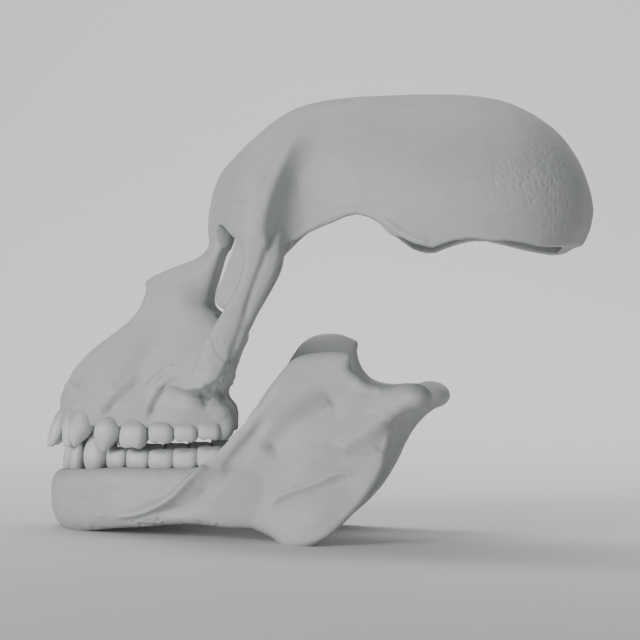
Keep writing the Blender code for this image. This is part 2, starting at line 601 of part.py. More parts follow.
def crown(name, place, facing, sizes, kind, lean=0.0, tip=0.0, up=-1, sides=16, caps=2):
    """One tooth: the place of its neck, the way its outer face looks, its length along the row, its breadth
    and its height. The crown grows down from the upper jaw (up = -1) or up from the lower one (up = 1)."""
    length, breadth, height = sizes
    profile = {"cheek": UPPER_CHEEK if up < 0 else LOWER_CHEEK, "leaf": LEAF, "blade": BLADE}[kind]
    cusps = CUSPS[up]
    out = np.array((math.cos(math.radians(facing)), math.sin(math.radians(facing)), 0.0))
    row = np.array((-out[1], out[0], 0.0))
    rise = np.array((0.0, 0.0, float(up))) + out * lean
    rise /= np.linalg.norm(rise)
    c, s = superellipse(sides, 3.8 if kind == "cheek" else 2.3)

    def worn(across):
        """Share of its height that a cheek tooth lacks on the side where the other row bites."""
        return CHEEK_WEAR * np.clip(up * across / (breadth / 2), 0, 1) if kind == "cheek" else 0.0 * across

    rings = []
    for share, size in profile:
        high = max(share, 0.0)
        thin = size * (1 - 0.45 * high**1.5) if kind == "blade" else size
        along = length / 2 * size * c + tip * high**1.4
        across = breadth / 2 * thin * s
        if kind == "leaf":
            across = across - breadth * 0.08 * high
        tall = share * height * (1 - worn(across))
        if kind == "cheek" and share > 0.8:
            tall = tall + cusps * 0.3 * np.abs(c * s)
        rings.append(np.array(place) + along[:, None] * row + across[:, None] * out + tall[:, None] * rise)
    if kind == "cheek":
        for size in np.linspace(0.66, 0.12, caps):
            along = length / 2 * size * c
            across = breadth / 2 * size * s
            bump = np.abs(np.sin(math.pi * along / length * 1.7) * np.sin(math.pi * across / breadth * 1.7))
            tall = height * 0.9 * (1 - worn(across)) + cusps * (bump * 1.2 - 0.3)
            rings.append(np.array(place) + along[:, None] * row + across[:, None] * out + tall[:,
                None] * rise)
    return loft(name, rings)


# Each tooth of one side: name, form, place along the head and across it, neck, tip, length, breadth,
# shift of the tip along the row, way its outer face looks from straight ahead, forward lean
UPPER = [
    ("i1", "blade", -85.0, 4.0, 40.2, 26.4, 7.6, 7.0, 0.0, 12, 0.40),
    ("i2", "blade", -82.2, 10.4, 39.8, 27.6, 5.0, 6.2, 0.0, 42, 0.10),
    ("c", "leaf", -76.6, 16.0, 41.2, 28.0, 8.4, 8.8, 4.2, 64, 0.06),
    ("p3", "leaf", -68.2, 19.2, 38.9, 26.9, 8.8, 9.4, 1.6, 76, 0.10),
    ("p4", "cheek", -59.2, 20.8, 36.8, 28.2, 8.9, 10.2, 0.7, 80, 0.03),
    ("m1", "cheek", -50.2, 21.6, 37.3, 30.4, 8.5, 10.8, 0.0, 85, 0.0),
    ("m2", "cheek", -42.1, 22.2, 37.5, 31.1, 7.9, 10.4, 0.0, 88, 0.0),
    ("m3", "cheek", -34.4, 22.4, 38.3, 32.1, 7.9, 9.8, 0.0, 92, 0.0),
]
LOWER = [
    ("i1", "blade", -83.4, 2.9, 19.4, 29.4, 5.4, 5.8, 0.0, 8, 0.0),
    ("i2", "blade", -80.2, 8.2, 19.6, 29.6, 4.9, 5.8, 0.0, 46, 0.0),
    ("c", "leaf", -73.5, 12.8, 19.6, 34.4, 8.0, 7.6, 0.2, 62, 0.0),
    ("p3", "cheek", -65.6, 13.9, 21.4, 29.0, 7.2, 6.8, 0.0, 74, 0.0),
    ("p4", "cheek", -58.1, 16.2, 21.6, 29.0, 7.8, 7.8, 0.0, 78, 0.0),
    ("m1", "cheek", -50.0, 19.6, 21.8, 29.3, 8.3, 9.0, 0.0, 81, 0.0),
    ("m2", "cheek", -41.9, 21.2, 22.4, 29.9, 8.0, 9.2, 0.0, 83, 0.0),
    ("m3", "cheek", -33.8, 22.4, 23.4, 30.8, 8.2, 9.2, 0.0, 84, 0.0),
]


def teeth(rows, up, sides=16, caps=2):
    """Both sides of one row of teeth."""
    made = []
    for side, side_name in ((NEAR, "near"), (FAR, "far")):
        for name, kind, x, y, neck, end, length, breadth, tip, facing, lean in rows:
            look = 180 - side * facing
            sizes = (length, breadth, abs(end - neck))
            place = (x, side * y, neck)
            made.append(crown(f"{name}_{side_name}", place, look, sizes, kind, lean, tip * side, up, sides,
                caps))
    return made


# Whole skull
GRAIN = 0.8
TOOTH_SIDES, TOOTH_CAPS = 9, 1
GAP = 0.3
PARTING_LOW, PARTING_HIGH = (-40.0, 99.0), (-11.0, 94.6)
BONE_COLOUR, BONE_ROUGHNESS = (0.42, 0.44, 0.42, 1), 0.7
CRANIUM_TRIANGLES = 6400
JAW_TRIANGLES = 2700


def unite(body, pieces):
    """Joins pieces whose roots are sunk in the body to it, in one union, and removes them."""
    group = bpy.data.collections.new("roots")
    bpy.context.scene.collection.children.link(group)
    for piece in pieces:
        bpy.context.scene.collection.objects.unlink(piece)
        group.objects.link(piece)
    union = body.modifiers.new("union", "BOOLEAN")
    union.operation = "UNION"
    union.operand_type = "COLLECTION"
    union.solver = "MANIFOLD"
    union.collection = group
    settle(body)
    for piece in pieces:
        bpy.data.objects.remove(piece)
    bpy.data.collections.remove(group)
    return body


def keep_largest(obj):
    """Drops every loose bit but the largest one."""
    bm = bmesh.new()
    bm.from_mesh(obj.data)
    bm.verts.ensure_lookup_table()
    seen, best = set(), []
    for start in bm.verts:
        if start.index in seen:
            continue
        group, queue = [], [start]
        seen.add(start.index)
        while queue:
            vert = queue.pop()
            group.append(vert)
            for edge in vert.link_edges:
                other = edge.other_vert(vert)
                if other.index not in seen:
                    seen.add(other.index)
                    queue.append(other)
        if len(group) > len(best):
            best = group
    keep = {vert.index for vert in best}
    bmesh.ops.delete(bm, geom=[vert for vert in bm.verts if vert.index not in keep], context="VERTS")
    bm.to_mesh(obj.data)
    bm.free()
    return obj


def thin_out(obj, triangles):
    """Fewer triangles, kept close where the form turns."""
    obj.data.calc_loop_triangles()
    thin = obj.modifiers.new("fewer", "DECIMATE")
    thin.ratio = triangles / len(obj.data.loop_triangles)
    return settle(obj)


def halves(body, low, high):
    """Cuts a body along a sloping plane through two points given as place along the head and height."""
    slope = math.atan2(high[1] - low[1], high[0] - low[0])
    parts = []
    for way in (1, -1):
        piece = body.copy()
        piece.data = body.data.copy()
        bpy.context.scene.collection.objects.link(piece)
        block = box("block", (0, 0, 0), (400, 200, 200))
        reach = way * (GAP / 2 - 100)
        place = Matrix.Translation(Vector((low[0], 0, low[1])) * MM) @ Matrix.Rotation(-slope, 4, "Y")
        block.data.transform(place @ Matrix.Translation((0, 0, reach * MM)))
        parts.append(keep_largest(cut(piece, [block])))
    bpy.data.objects.remove(body)
    return parts


def finish(obj, name, home):
    """Gives a solid its name, its plain finish and its place in the collection."""
    obj.name = obj.data.name = name
    material = bpy.data.materials.new(name + "_bone")
    material.use_nodes = True
    shader = material.node_tree.nodes["Principled BSDF"]
    shader.inputs["Base Color"].default_value = BONE_COLOUR
    shader.inputs["Roughness"].default_value = BONE_ROUGHNESS
    obj.data.materials.clear()
    obj.data.materials.append(material)
    for face_of in obj.data.polygons:
        face_of.use_smooth = False
    for old in list(obj.users_collection):
        old.objects.unlink(obj)
    home.objects.link(obj)


def build():
    for obj in list(bpy.data.objects):
        bpy.data.objects.remove(obj)
    home = bpy.data.collections.new("fossil_ape_skull")
    bpy.context.scene.collection.children.link(home)

    skull = cranium(GRAIN)
    keep_largest(skull)
    thin_out(skull, CRANIUM_TRIANGLES)
    unite(skull, teeth(UPPER, -1, TOOTH_SIDES, TOOTH_CAPS))
    brain, front = halves(skull, PARTING_LOW, PARTING_HIGH)

    jaw = mandible(GRAIN)
    keep_largest(jaw)
    thin_out(jaw, JAW_TRIANGLES)
    unite(jaw, teeth(LOWER, 1, TOOTH_SIDES, TOOTH_CAPS))
    ground = box("ground", (0, 0, -10), (400, 200, 20))
    keep_largest(cut(jaw, [ground]))

    finish(brain, "braincase", home)
    finish(front, "face", home)
    finish(jaw, "mandible", home)


build()
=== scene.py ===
"""Looks of the fossil ape skull: fine bone, teeth, their finish, and the stage.

The forms are those of the solids, made again at a finer grain, with the relief of the bone raised on them.
The tables of sizes are in millimetres, and the head faces -X, with its near side at -Y.
"""

import math

import bmesh
import bpy
import numpy as np
from mathutils import Matrix, Vector, noise


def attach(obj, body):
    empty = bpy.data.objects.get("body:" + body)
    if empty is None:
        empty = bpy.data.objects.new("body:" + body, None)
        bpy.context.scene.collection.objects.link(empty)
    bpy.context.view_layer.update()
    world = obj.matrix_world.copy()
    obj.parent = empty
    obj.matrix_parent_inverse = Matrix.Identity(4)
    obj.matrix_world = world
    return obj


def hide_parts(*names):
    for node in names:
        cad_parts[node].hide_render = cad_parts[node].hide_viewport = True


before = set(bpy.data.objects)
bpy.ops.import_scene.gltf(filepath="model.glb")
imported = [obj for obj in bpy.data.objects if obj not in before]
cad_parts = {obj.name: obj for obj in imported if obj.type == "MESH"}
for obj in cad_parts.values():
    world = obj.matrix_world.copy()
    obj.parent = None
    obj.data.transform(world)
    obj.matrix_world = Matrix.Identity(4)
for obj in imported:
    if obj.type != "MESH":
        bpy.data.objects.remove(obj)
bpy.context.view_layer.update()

MM = 0.001
NEAR, FAR = -1, 1


# Tools
def smooth_rows(table, at):
    """Rows of the table read at the given values of its first column, on a smooth curve through them."""
    table = np.asarray(table, float)
    key, rows = table[:, 0], table[:, 1:]
    slope = np.gradient(rows, key, axis=0)
    at = np.clip(np.asarray(at, float), key[0], key[-1])
    i = np.clip(np.searchsorted(key, at, side="right") - 1, 0, len(key) - 2)
    gap = (key[i + 1] - key[i])[:, None]
    t = ((at - key[i]) / gap[:, 0])[:, None]
    return (
        (2 * t**3 - 3 * t**2 + 1) * rows[i]
        + (t**3 - 2 * t**2 + t) * gap * slope[i]
        + (3 * t**2 - 2 * t**3) * rows[i + 1]
        + (t**3 - t**2) * gap * slope[i + 1]
    )


def smooth_path(points, count, closed=False):
    """That many points, evenly spaced, on a smooth curve through the given ones."""
    points = np.asarray(points, float)
    if closed:
        points = np.vstack([points[-3:], points, points[:4]])
    step = np.r_[0, np.cumsum(np.linalg.norm(np.diff(points, axis=0), axis=1) ** 0.5)]
    rows = np.c_[step, points]
    if closed:
        fine = np.linspace(step[3], step[-4], count * 8 + 1)
    else:
        fine = np.linspace(0, step[-1], count * 8 + 1)
    curve = smooth_rows(rows, fine)
    run = np.r_[0, np.cumsum(np.linalg.norm(np.diff(curve, axis=0), axis=1))]
    even = np.linspace(0, run[-1], count, endpoint=not closed)
    return np.stack([np.interp(even, run, curve[:, k]) for k in range(curve.shape[1])], 1)


def new_object(name, mesh):
    obj = bpy.data.objects.new(name, mesh)
    bpy.context.scene.collection.objects.link(obj)
    return obj


def loft(name, rings):
    """A closed body through rings of equal length, capped at both ends. Points are in millimetres."""
    rings = np.asarray(rings, float) * MM
    count = rings.shape[1]
    bm = bmesh.new()
    loops = [[bm.verts.new(p) for p in ring] for ring in rings]
    for low, high in zip(loops, loops[1:]):
        for k in range(count):
            bm.faces.new((low[k], low[(k + 1) % count], high[(k + 1) % count], high[k]))
    for ring in (loops[0], loops[-1]):
        middle = bm.verts.new(sum((v.co for v in ring), Vector()) / count)
        for k in range(count):
            bm.faces.new((ring[k], ring[(k + 1) % count], middle))
    bmesh.ops.recalc_face_normals(bm, faces=bm.faces)
    mesh = bpy.data.meshes.new(name)
    bm.to_mesh(mesh)
    bm.free()
    return new_object(name, mesh)


def superellipse(count, power):
    """Unit ring: cosines and sines of a rounded square, a circle at power 2."""
    turn = np.linspace(0, 2 * math.pi, count, endpoint=False)
    c, s = np.cos(turn), np.sin(turn)
    return (
        np.sign(c) * np.abs(c) ** (2 / power),
        np.sign(s) * np.abs(s) ** (2 / power),
    )


def ball(name, centre, radii, turn=(0, 0, 0)):
    """An ellipsoid, in millimetres, turned by three angles in degrees."""
    bpy.ops.mesh.primitive_uv_sphere_add(segments=40, ring_count=24, radius=1)
    obj = bpy.context.object
    obj.name = name
    place = Matrix.Translation(Vector(centre) * MM)
    for axis, angle in zip("XYZ", turn):
        place = place @ Matrix.Rotation(math.radians(angle), 4, axis)
    place = place @ Matrix.Diagonal((*(r * MM for r in radii), 1))
    obj.data.transform(place)
    return obj


def tube(name, points, radii, sides=20, steps=40):
    """A rounded bar along a smooth path, its radius read from a list as it goes."""
    path = smooth_path(np.c_[np.asarray(points, float), np.asarray(radii, float)], steps)
    centre, radius = path[:, :3], path[:, 3]
    along = np.gradient(centre, axis=0)
    along /= np.linalg.norm(along, axis=1)[:, None]
    up = np.array((0.0, 1.0, 0.0)) if abs(along[0][1]) < 0.9 else np.array((0, 0, 1.0))
    rings = []
    c, s = superellipse(sides, 2)
    for p, a, r in zip(centre, along, radius):
        u = up - a * (up @ a)
        u /= np.linalg.norm(u)
        v = np.cross(a, u)
        up = u
        rings.append(p + r * (c[:, None] * u + s[:, None] * v))
    caps = ball(name + "_a", centre[0], (radius[0],) * 3), ball(name + "_b", centre[-1], (radius[-1],) * 3)
    body = loft(name, rings)
    return join(name, [body, *caps])


def join(name, pieces):
    bpy.ops.object.select_all(action="DESELECT")
    for piece in pieces:
        piece.select_set(True)
    bpy.context.view_layer.objects.active = pieces[0]
    bpy.ops.object.join()
    pieces[0].name = name
    return pieces[0]


def settle(obj):
    """Turns the object's modifiers into its mesh."""
    graph = bpy.context.evaluated_depsgraph_get()
    mesh = bpy.data.meshes.new_from_object(obj.evaluated_get(graph))
    old = obj.data
    obj.modifiers.clear()
    obj.data = mesh
    bpy.data.meshes.remove(old)
    return obj


def fuse(name, pieces, grain, passes=0, factor=0.5):
    """Joins overlapping bodies into one skin of even grain, and softens where they meet."""
    body = join(name, pieces)
    remesh = body.modifiers.new("skin", "REMESH")
    remesh.mode = "VOXEL"
    remesh.voxel_size = grain * MM
    remesh.use_smooth_shade = True
    if passes:
        soften = body.modifiers.new("soften", "SMOOTH")
        soften.factor = factor
        soften.iterations = passes
    return settle(body)


def cut(body, cutters):
    """Takes the cutters away from the body, one after the other."""
    for cutter in cutters:
        boolean = body.modifiers.new("cut", "BOOLEAN")
        boolean.operation = "DIFFERENCE"
        boolean.solver = "MANIFOLD"
        boolean.object = cutter
    settle(body)
    for cutter in cutters:
        bpy.data.objects.remove(cutter)
    return body


def points_of(obj):
    co = np.empty(len(obj.data.vertices) * 3, np.float32)
    obj.data.vertices.foreach_get("co", co)
    return co.reshape(-1, 3).astype(float) / MM


def set_points(obj, points):
    obj.data.vertices.foreach_set("co", (points * MM).astype(np.float32).ravel())
    obj.data.update()


# Keeps a division off zero; a distance that any real one is less than
TINY = 1e-12
ENDLESS = 1e9


def to_segment(x, z, start, end):
    """Offset of each point from the nearest place on a straight piece, and the share of it up to there."""
    (ax, az), (bx, bz) = start, end
    dx, dz = bx - ax, bz - az
    t = np.clip(((x - ax) * dx + (z - az) * dz) / (dx * dx + dz * dz + TINY), 0, 1)
    return x - ax - t * dx, z - az - t * dz, t


def ramp(value, low, high):
    """0 below low, 1 above high, and a smooth rise between."""
    t = np.clip((value - low) / (high - low), 0, 1)
    return t * t * (3 - 2 * t)


# Vault: x, top, level of greatest width, lowest, half width, fullness of the upper half
VAULT = [
    (-38.6, 109.0, 105.0, 100.5, 2.5, 2.0),
    (-38.2, 112.6, 105.0, 98.5, 5.5, 2.0),
    (-37.0, 117.4, 104.5, 97.5, 9.0, 1.9),
    (-35.2, 121.6, 104.0, 96.5, 13.0, 1.75),
    (-32.1, 125.7, 103.5, 96.0, 20.0, 1.6),
    (-28.6, 129.6, 102.6, 96.0, 28.5, 1.5),
    (-25.4, 133.0, 101.6, 94.0, 35.0, 1.44),
    (-21.5, 136.6, 100.5, 80.0, 38.8, 1.44),
    (-17.4, 140.1, 100.0, 72.0, 38.6, 1.55),
    (-13.3, 142.9, 101.0, 70.0, 36.0, 1.75),
    (-8.1, 145.4, 103.0, 72.0, 33.4, 1.92),
    (-1.0, 147.3, 105.0, 78.0, 32.4, 2.05),
    (10.0, 148.9, 107.0, 74.0, 34.8, 2.15),
    (22.0, 149.7, 108.0, 70.0, 38.0, 2.2),
    (34.0, 150.2, 109.0, 68.0, 40.8, 2.25),
    (46.0, 150.3, 109.5, 67.0, 42.0, 2.3),
    (56.0, 149.3, 110.0, 69.0, 41.6, 2.3),
    (65.0, 146.7, 110.5, 72.0, 39.8, 2.3),
    (73.0, 142.5, 111.0, 77.0, 36.4, 2.25),
    (79.0, 137.8, 111.5, 84.0, 32.0, 2.25),
    (83.5, 132.4, 112.0, 93.0, 27.4, 2.2),
    (85.8, 129.0, 112.2, 97.0, 23.8, 2.15),
    (87.8, 124.9, 112.4, 100.5, 18.0, 2.1),
    (89.6, 120.2, 112.6, 104.0, 11.0, 2.05),
    (90.8, 116.2, 112.7, 108.0, 5.0, 2.0),
    (91.3, 113.8, 112.7, 111.2, 2.0, 2.0),
]
# The temporal line on the forehead: height, place along the head
LINE = [(90, -18.6), (95, -18.0), (106.5, -17.2), (116.4, -14.5), (128, -10.1), (135, -7.2), (150, 0)]


def fossa(x, z):
    """How far the temporal hollow sinks into the side of the head."""
    line = np.interp(z, [a for a, _ in LINE], [b for _, b in LINE])
    deep = 5.4 * (1 - ramp(z, 110, 141))
    return deep * ramp(x, line - 1.5, line + 8) * (1 - ramp(x, line + 10, line + 44))


def vault_rings(inset=0.0, count=72, start=-99.0, steps=90):
    table = np.array(VAULT)
    low, high = max(table[0, 0] + inset, start), table[-1, 0] - inset
    # close rings at both rounded ends
    t = np.linspace(0, math.pi, steps)
    xs = (low + high) / 2 - (high - low) / 2 * np.cos(t)
    first, last = max(table[0, 0], start - inset), table[-1, 0]
    share = (xs - (low + high) / 2) / (high - low)
    rows = smooth_rows(table, share * (last - first) + (last + first) / 2)
    turn = np.linspace(0, 2 * math.pi, count, endpoint=False)
    rings = []
    for x, (top, mid, base, wide, power) in zip(xs, rows):
        c, s = np.cos(turn), np.sin(turn)
        p = np.where(s > 0, power, 2.2)
        y = np.sign(c) * np.abs(c) ** (2 / np.maximum(p, 2.0)) * max(wide - inset, 0.4)
        up = max(top - inset - mid, 0.4)
        down = max(mid - base - inset, 0.4)
        z = mid + np.where(s > 0, up, down) * np.sign(s) * np.abs(s) ** (2 / p)
        shift = fossa(x, z) * ramp(np.abs(y), 8, 24)
        y = y - np.sign(y) * shift
        rings.append(np.stack([np.full_like(y, x), y, z], 1))
    return rings


# Lower edge of the vault on each side: place along the head, height
NEAR_EDGE = [
    (-30, 90), (-17, 91), (-11.3, 95.2), (-6.8, 99.6), (-3.4, 101.6), (1.0, 103.7), (4.9, 105.3),
    (8.8, 107.1), (12.2, 107.8), (16.2, 106.9), (19.7, 105.0), (21.7, 102.8), (23.8, 100.9), (28.1, 100.3),
    (31.1, 98.9), (34.5, 97.8), (37.0, 97.3), (39.9, 98.4), (43.8, 99.8), (49.2, 100.6), (54.6, 100.1),
    (62.0, 100.3), (67.4, 99.7), (71.3, 99.0), (75.2, 98.9), (80, 99.5), (95, 101),
]
FAR_EDGE = [
    (-30, 90), (-19, 91), (-13.5, 96.5), (-9.5, 100.5), (-6.8, 103.0), (-3.4, 105.4), (1.0, 107.7),
    (8.8, 111.2), (12.2, 112.0), (16.2, 111.0), (20.0, 107.6), (23.8, 104.3), (27.2, 102.2), (30.8, 99.3),
    (35.5, 98.0), (38.7, 98.3), (42.0, 100.0), (46.0, 101.6), (51.0, 103.0), (57.1, 103.2), (61.7, 102.2),
    (67.1, 100.7), (72.5, 99.3), (79.6, 97.9), (83.1, 98.3), (87.6, 101.3), (95, 104),
]


def under(name, near, far, floor=40.0, half=60.0):
    """A body that fills all below an edge, the edge crossing from the near side's line to the far side's."""
    xs = np.linspace(near[0][0], near[-1][0], 160)
    n = np.interp(xs, [a for a, _ in near], [b for _, b in near])
    f = np.interp(xs, [a for a, _ in far], [b for _, b in far])
    rings = []
    for x, a, b in zip(xs, n, f):
        rings.append([(x, -half, floor), (x, half, floor), (x, half, b), (x, 8, b), (x, -8, a),
            (x, -half, a)])
    return loft(name, rings)


VAULT_WALL = 4.5
HOLLOW_FRONT = -10.0


def vault():
    shell = loft("vault", vault_rings())
    hollow = loft("hollow", vault_rings(inset=VAULT_WALL, start=HOLLOW_FRONT))
    floor = under("under", NEAR_EDGE, FAR_EDGE)
    cut(shell, [hollow, floor])
    return shell


# Face, from above: at each height, eight corners of the half outline, front to back, as x then y
FACE = [
    (35.2, -85.4, 0, -82.4, 10.6, -75.5, 18.0, -60, 23.0, -45, 24.6, -35, 25.0, -27.0, 22.0, -26.4, 0),
    (39.0, -87.2, 0, -83.6, 11.6, -76.5, 19.2, -60, 24.0, -45, 26.0, -35, 26.4, -27.0, 23.5, -26.6, 0),
    (43.0, -88.0, 0, -83.9, 12.0, -76.0, 19.6, -60, 24.4, -45, 26.4, -35.5, 26.8, -28.4, 24.5, -27.8, 0),
    (46.2, -87.2, 0, -83.0, 11.9, -75.0, 19.2, -58.5, 23.8, -46, 26.8, -38, 27.4, -31.0, 24.0, -30.4, 0),
    (48.0, -86.4, 0, -82.2, 11.7, -74.0, 19.0, -57, 23.6, -46, 28.4, -37.4, 31.0, -31.0, 28.0, -30.6, 0),
    (49.6, -85.6, 0, -81.4, 11.5, -73.4, 18.9, -56, 23.4, -45.6, 32.2, -35.6, 38.6, -30.2, 35.6, -30.0, 0),
    (51.4, -84.8, 0, -80.8, 11.3, -72.6, 18.7, -55.4, 23.4, -45.0, 33.8, -34.4, 41.2, -28.6, 38.2, -29.4, 0),
    (56.0, -81.8, 0, -78.3, 10.6, -70.3, 17.8, -54, 23.2, -43.5, 34.5, -33.0, 41.8, -27.4, 38.8, -28.0, 0),
    (62.0, -75.8, 0, -73.2, 10.0, -65.0, 16.4, -51, 21.8, -40.5, 33.0, -32, 41.0, -26.4, 38.5, -26.0, 0),
    (66.0, -70.4, 0, -68.8, 9.8, -61.6, 15.2, -49, 19.8, -39.5, 30.0, -31.5, 39.8, -25.0, 37.6, -24.4, 0),
    (69.4, -66.2, 0, -65.0, 9.6, -58.6, 14.4, -47.6, 18.2, -39.0, 26.0, -32.5, 36.0, -26.4, 34.0, -25.0, 0),
    (72.6, -62.6, 0, -61.8, 9.4, -55.8, 13.6, -46.6, 16.8, -39.2, 20.0, -34.5, 22.0, -31.5, 17.0, -30.0, 0),
    (76.0, -60.4, 0, -59.8, 9.0, -53.6, 12.8, -46, 15.2, -40.2, 15.0, -37.4, 13.4, -35.8, 9.5, -35.2, 0),
    (80.0, -59.0, 0, -58.4, 8.4, -51.6, 11.6, -45, 13.2, -40.5, 12.4, -37.8, 11.0, -36.6, 8.5, -36.2, 0),
    (85.0, -59.3, 0, -56.0, 6.0, -49.0, 9.2, -43.5, 10.6, -39.5, 10.8, -37.0, 10.2, -35.4, 8.0, -35.0, 0),
    (89.0, -51.5, 0, -49.5, 4.6, -45.0, 7.6, -41.5, 9.4, -38.6, 10.2, -36.0, 10.0, -34.4, 7.5, -34.0, 0),
    (93.0, -42.2, 0, -41.6, 3.4, -40.2, 6.0, -38.6, 8.0, -36.8, 9.6, -35.0, 9.8, -33.4, 7.5, -33.0, 0),
    (97.0, -38.8, 0, -38.4, 3.0, -37.6, 5.6, -36.4, 8.0, -35.0, 9.6, -33.2, 9.8, -31.9, 7.5, -31.6, 0),
    (101.0, -37.8, 0, -37.6, 3.0, -36.9, 5.8, -35.9, 8.4, -34.6, 10.0, -33.0, 10.4, -31.3, 8.0, -31.0, 0),
    (107.0, -37.6, 0, -37.4, 3.4, -36.6, 6.4, -35.6, 9.2, -34.4, 11.4, -33.0, 12.6, -30.0, 9.0, -29.6, 0),
]
# The far cheek of this skull sits further forward than the near one
FAR_LAG = 5.0


def outline_rings(table, levels, count=80):
    rows = smooth_rows(table, levels)
    rings = []
    for z, row in zip(levels, rows):
        half = row.reshape(-1, 2)
        whole = np.vstack([half, half[-2:0:-1] * (1, -1)])
        ring = smooth_path(whole, count, closed=True)
        ring[:, 0] -= FAR_LAG * ramp(ring[:, 1], 2, 26) * ramp(ring[:, 0], -62, -38)
        rings.append(np.c_[ring, np.full(count, z)])
    return rings


# Side pillar of the orbit: height, front, back, middle across, half thickness
PILLAR = [
    (52.5, -40.0, -30.0, 37.0, 3.6),
    (57.0, -38.6, -28.0, 37.8, 3.6),
    (61.0, -37.0, -26.8, 38.0, 3.5),
    (65.0, -35.4, -25.6, 38.0, 3.3),
    (70.0, -32.6, -23.8, 37.9, 3.1),
    (74.4, -30.0, -22.6, 37.8, 3.0),
    (78.4, -27.6, -21.4, 37.6, 3.0),
    (82.0, -25.6, -20.4, 37.3, 3.0),
    (86.0, -24.4, -19.2, 37.0, 3.0),
    (91.0, -23.4, -17.4, 36.6, 3.1),
    (96.0, -23.4, -16.0, 36.0, 3.3),
    (101.0, -23.6, -16.2, 34.8, 3.6),
    (110.0, -23.4, -17.0, 30.0, 3.6),
]
FLANGE = [
    (60.0, -34.0, -25.4, 37.4, 2.6),
    (65.0, -32.5, -22.9, 37.4, 2.6),
    (70.0, -30.5, -20.9, 37.4, 2.6),
    (75.0, -28.0, -18.6, 37.3, 2.6),
    (79.6, -26.4, -16.5, 37.1, 2.6),
    (84.8, -24.6, -14.2, 36.8, 2.6),
    (89.4, -23.0, -12.5, 36.3, 2.6),
    (93.6, -22.0, -11.7, 35.4, 2.6),
    (97.0, -18.5, -11.8, 33.2, 2.8),
    (103.0, -18.0, -11.0, 28.0, 3.4),
]
# Wall that turns inwards from the front of the pillar
RIM = [
    (75.2, -29.0, -23.0, 33.6, 0.9),
    (76.2, -31.6, -22.4, 33.4, 1.5),
    (78.0, -33.0, -22.0, 33.0, 1.8),
    (80.4, -33.3, -21.0, 32.8, 1.9),
    (85.2, -31.2, -20.0, 32.8, 1.9),
    (90.0, -29.6, -19.0, 32.6, 1.9),
    (95.0, -28.0, -18.5, 32.2, 2.0),
    (100.0, -26.6, -18.0, 31.6, 2.4),
    (106.0, -25.0, -17.0, 30.0, 3.4),
]
# How far the far pillar stands in front of the near one: height, distance
FAR_STEP = [(52, -5.0), (75, -5.0), (100, -2.7), (112, -2.0)]


def post(name, table, side, shift=None, power=2.4, slant=0.0):
    """An upright bar, its section a rounded box, set on one side of the head."""
    table = np.array(table)
    c, s = superellipse(28, power)
    rings = []
    for z in np.linspace(table[0, 0], table[-1, 0], 40):
        front, back, across, half = smooth_rows(table, [z])[0]
        x = (front + back) / 2 + (back - front) / 2 * c
        y = across + half * s + slant * (x - (front + back) / 2)
        move = np.interp(z, [a for a, _ in shift], [b for _, b in shift]) if shift else 0.0
        rings.append(np.stack([x + move, side * y, np.full_like(x, z)], 1))
    return loft(name, rings)


# End of the bone behind the last upper tooth: its middle and its half sizes
HEEL, HEEL_SIZE, FAR_HEEL_STEP = (-29.6, 22.2, 37.0), (3.6, 3.2, 5.0), -3.0
FACE_FOOT, FACE_TOP, FACE_LEVELS = 35.4, 106.5, 112


def face():
    levels = np.linspace(FACE_FOOT, FACE_TOP, FACE_LEVELS)
    pieces = [loft("face", outline_rings(FACE, levels))]
    for side, shift in ((NEAR, None), (FAR, FAR_STEP)):
        along = HEEL[0] + (FAR_HEEL_STEP if side == FAR else 0)
        pieces.append(ball("heel", (along, side * HEEL[1], HEEL[2]), HEEL_SIZE, (0, 8, 0)))
        pieces.append(post("pillar", PILLAR, side, shift, power=3.6, slant=0.06))
        pieces.append(post("flange", FLANGE, side, shift, power=3.0, slant=-0.04))
        pieces.append(post("rim", RIM, side, shift, power=3.0, slant=0.55))
    return pieces


# Orbit, open in front and behind and leaning back towards the side: place along the head, middle across
# and up, half width, half height, fall towards the side
ORBIT = [
    (-44, 30.0, 89.5, 10.5, 13.0, 0.24),
    (-40, 29.0, 89.5, 12.0, 13.0, 0.24),
    (-37, 26.5, 89.0, 13.0, 13.8, 0.24),
    (-33, 18.6, 87.9, 9.6, 15.6, 0.24),
    (-26, 20.0, 88.2, 10.0, 15.0, 0.22),
    (-20, 21.4, 88.4, 10.2, 14.4, 0.18),
    (-14, 22.0, 88.6, 10.4, 13.5, 0.16),
    (2, 18.0, 88.0, 10.0, 12.5, 0.10),
]
# Slit through the bridge between both orbits, seen from the side
SLIT = [
    (-33.6, 104.4), (-30.8, 100.5), (-31.6, 97.0), (-32.7, 91.5), (-33.6, 87.0), (-34.2, 82.0),
    (-34.1, 78.7), (-33.0, 73.9), (-32.4, 72.6), (-29.6, 76.0), (-27.0, 84.0), (-25.0, 92.0), (-26.0, 98.0),
    (-29.4, 101.6),
]
# Nose: place along the head, half width, foot, top
NOSE_HOLLOW = [
    (-72, 8.2, 64.5, 84.0), (-62, 7.0, 64.8, 82.0), (-56, 6.6, 65.5, 81.0), (-46, 5.4, 68.0, 79.0),
    (-42, 3.2, 71.0, 76.0),
]
# Palate: place along the head, half width, top of its vault
PALATE = [
    (-80, 3, 37), (-76, 8, 42), (-68, 11.5, 45), (-55, 13.5, 47), (-40, 14.5, 47.5), (-20, 15, 47),
]
TEETH_LEVEL = 28.0
SLIT_HALF_WIDTH = 13.0
FAR_ORBIT_STEP = -2.5


def orbit_cutter(side, shift):
    c, s = superellipse(40, 2.7)
    rings = []
    for x, across, up, half, tall, fall in ORBIT:
        y = across + half * c
        z = up + tall * s - fall * (y - across) * ramp(s, -0.4, 0.4)
        rings.append(np.stack([np.full(len(c), x + shift), side * y, z], 1))
    return loft("orbit", rings)


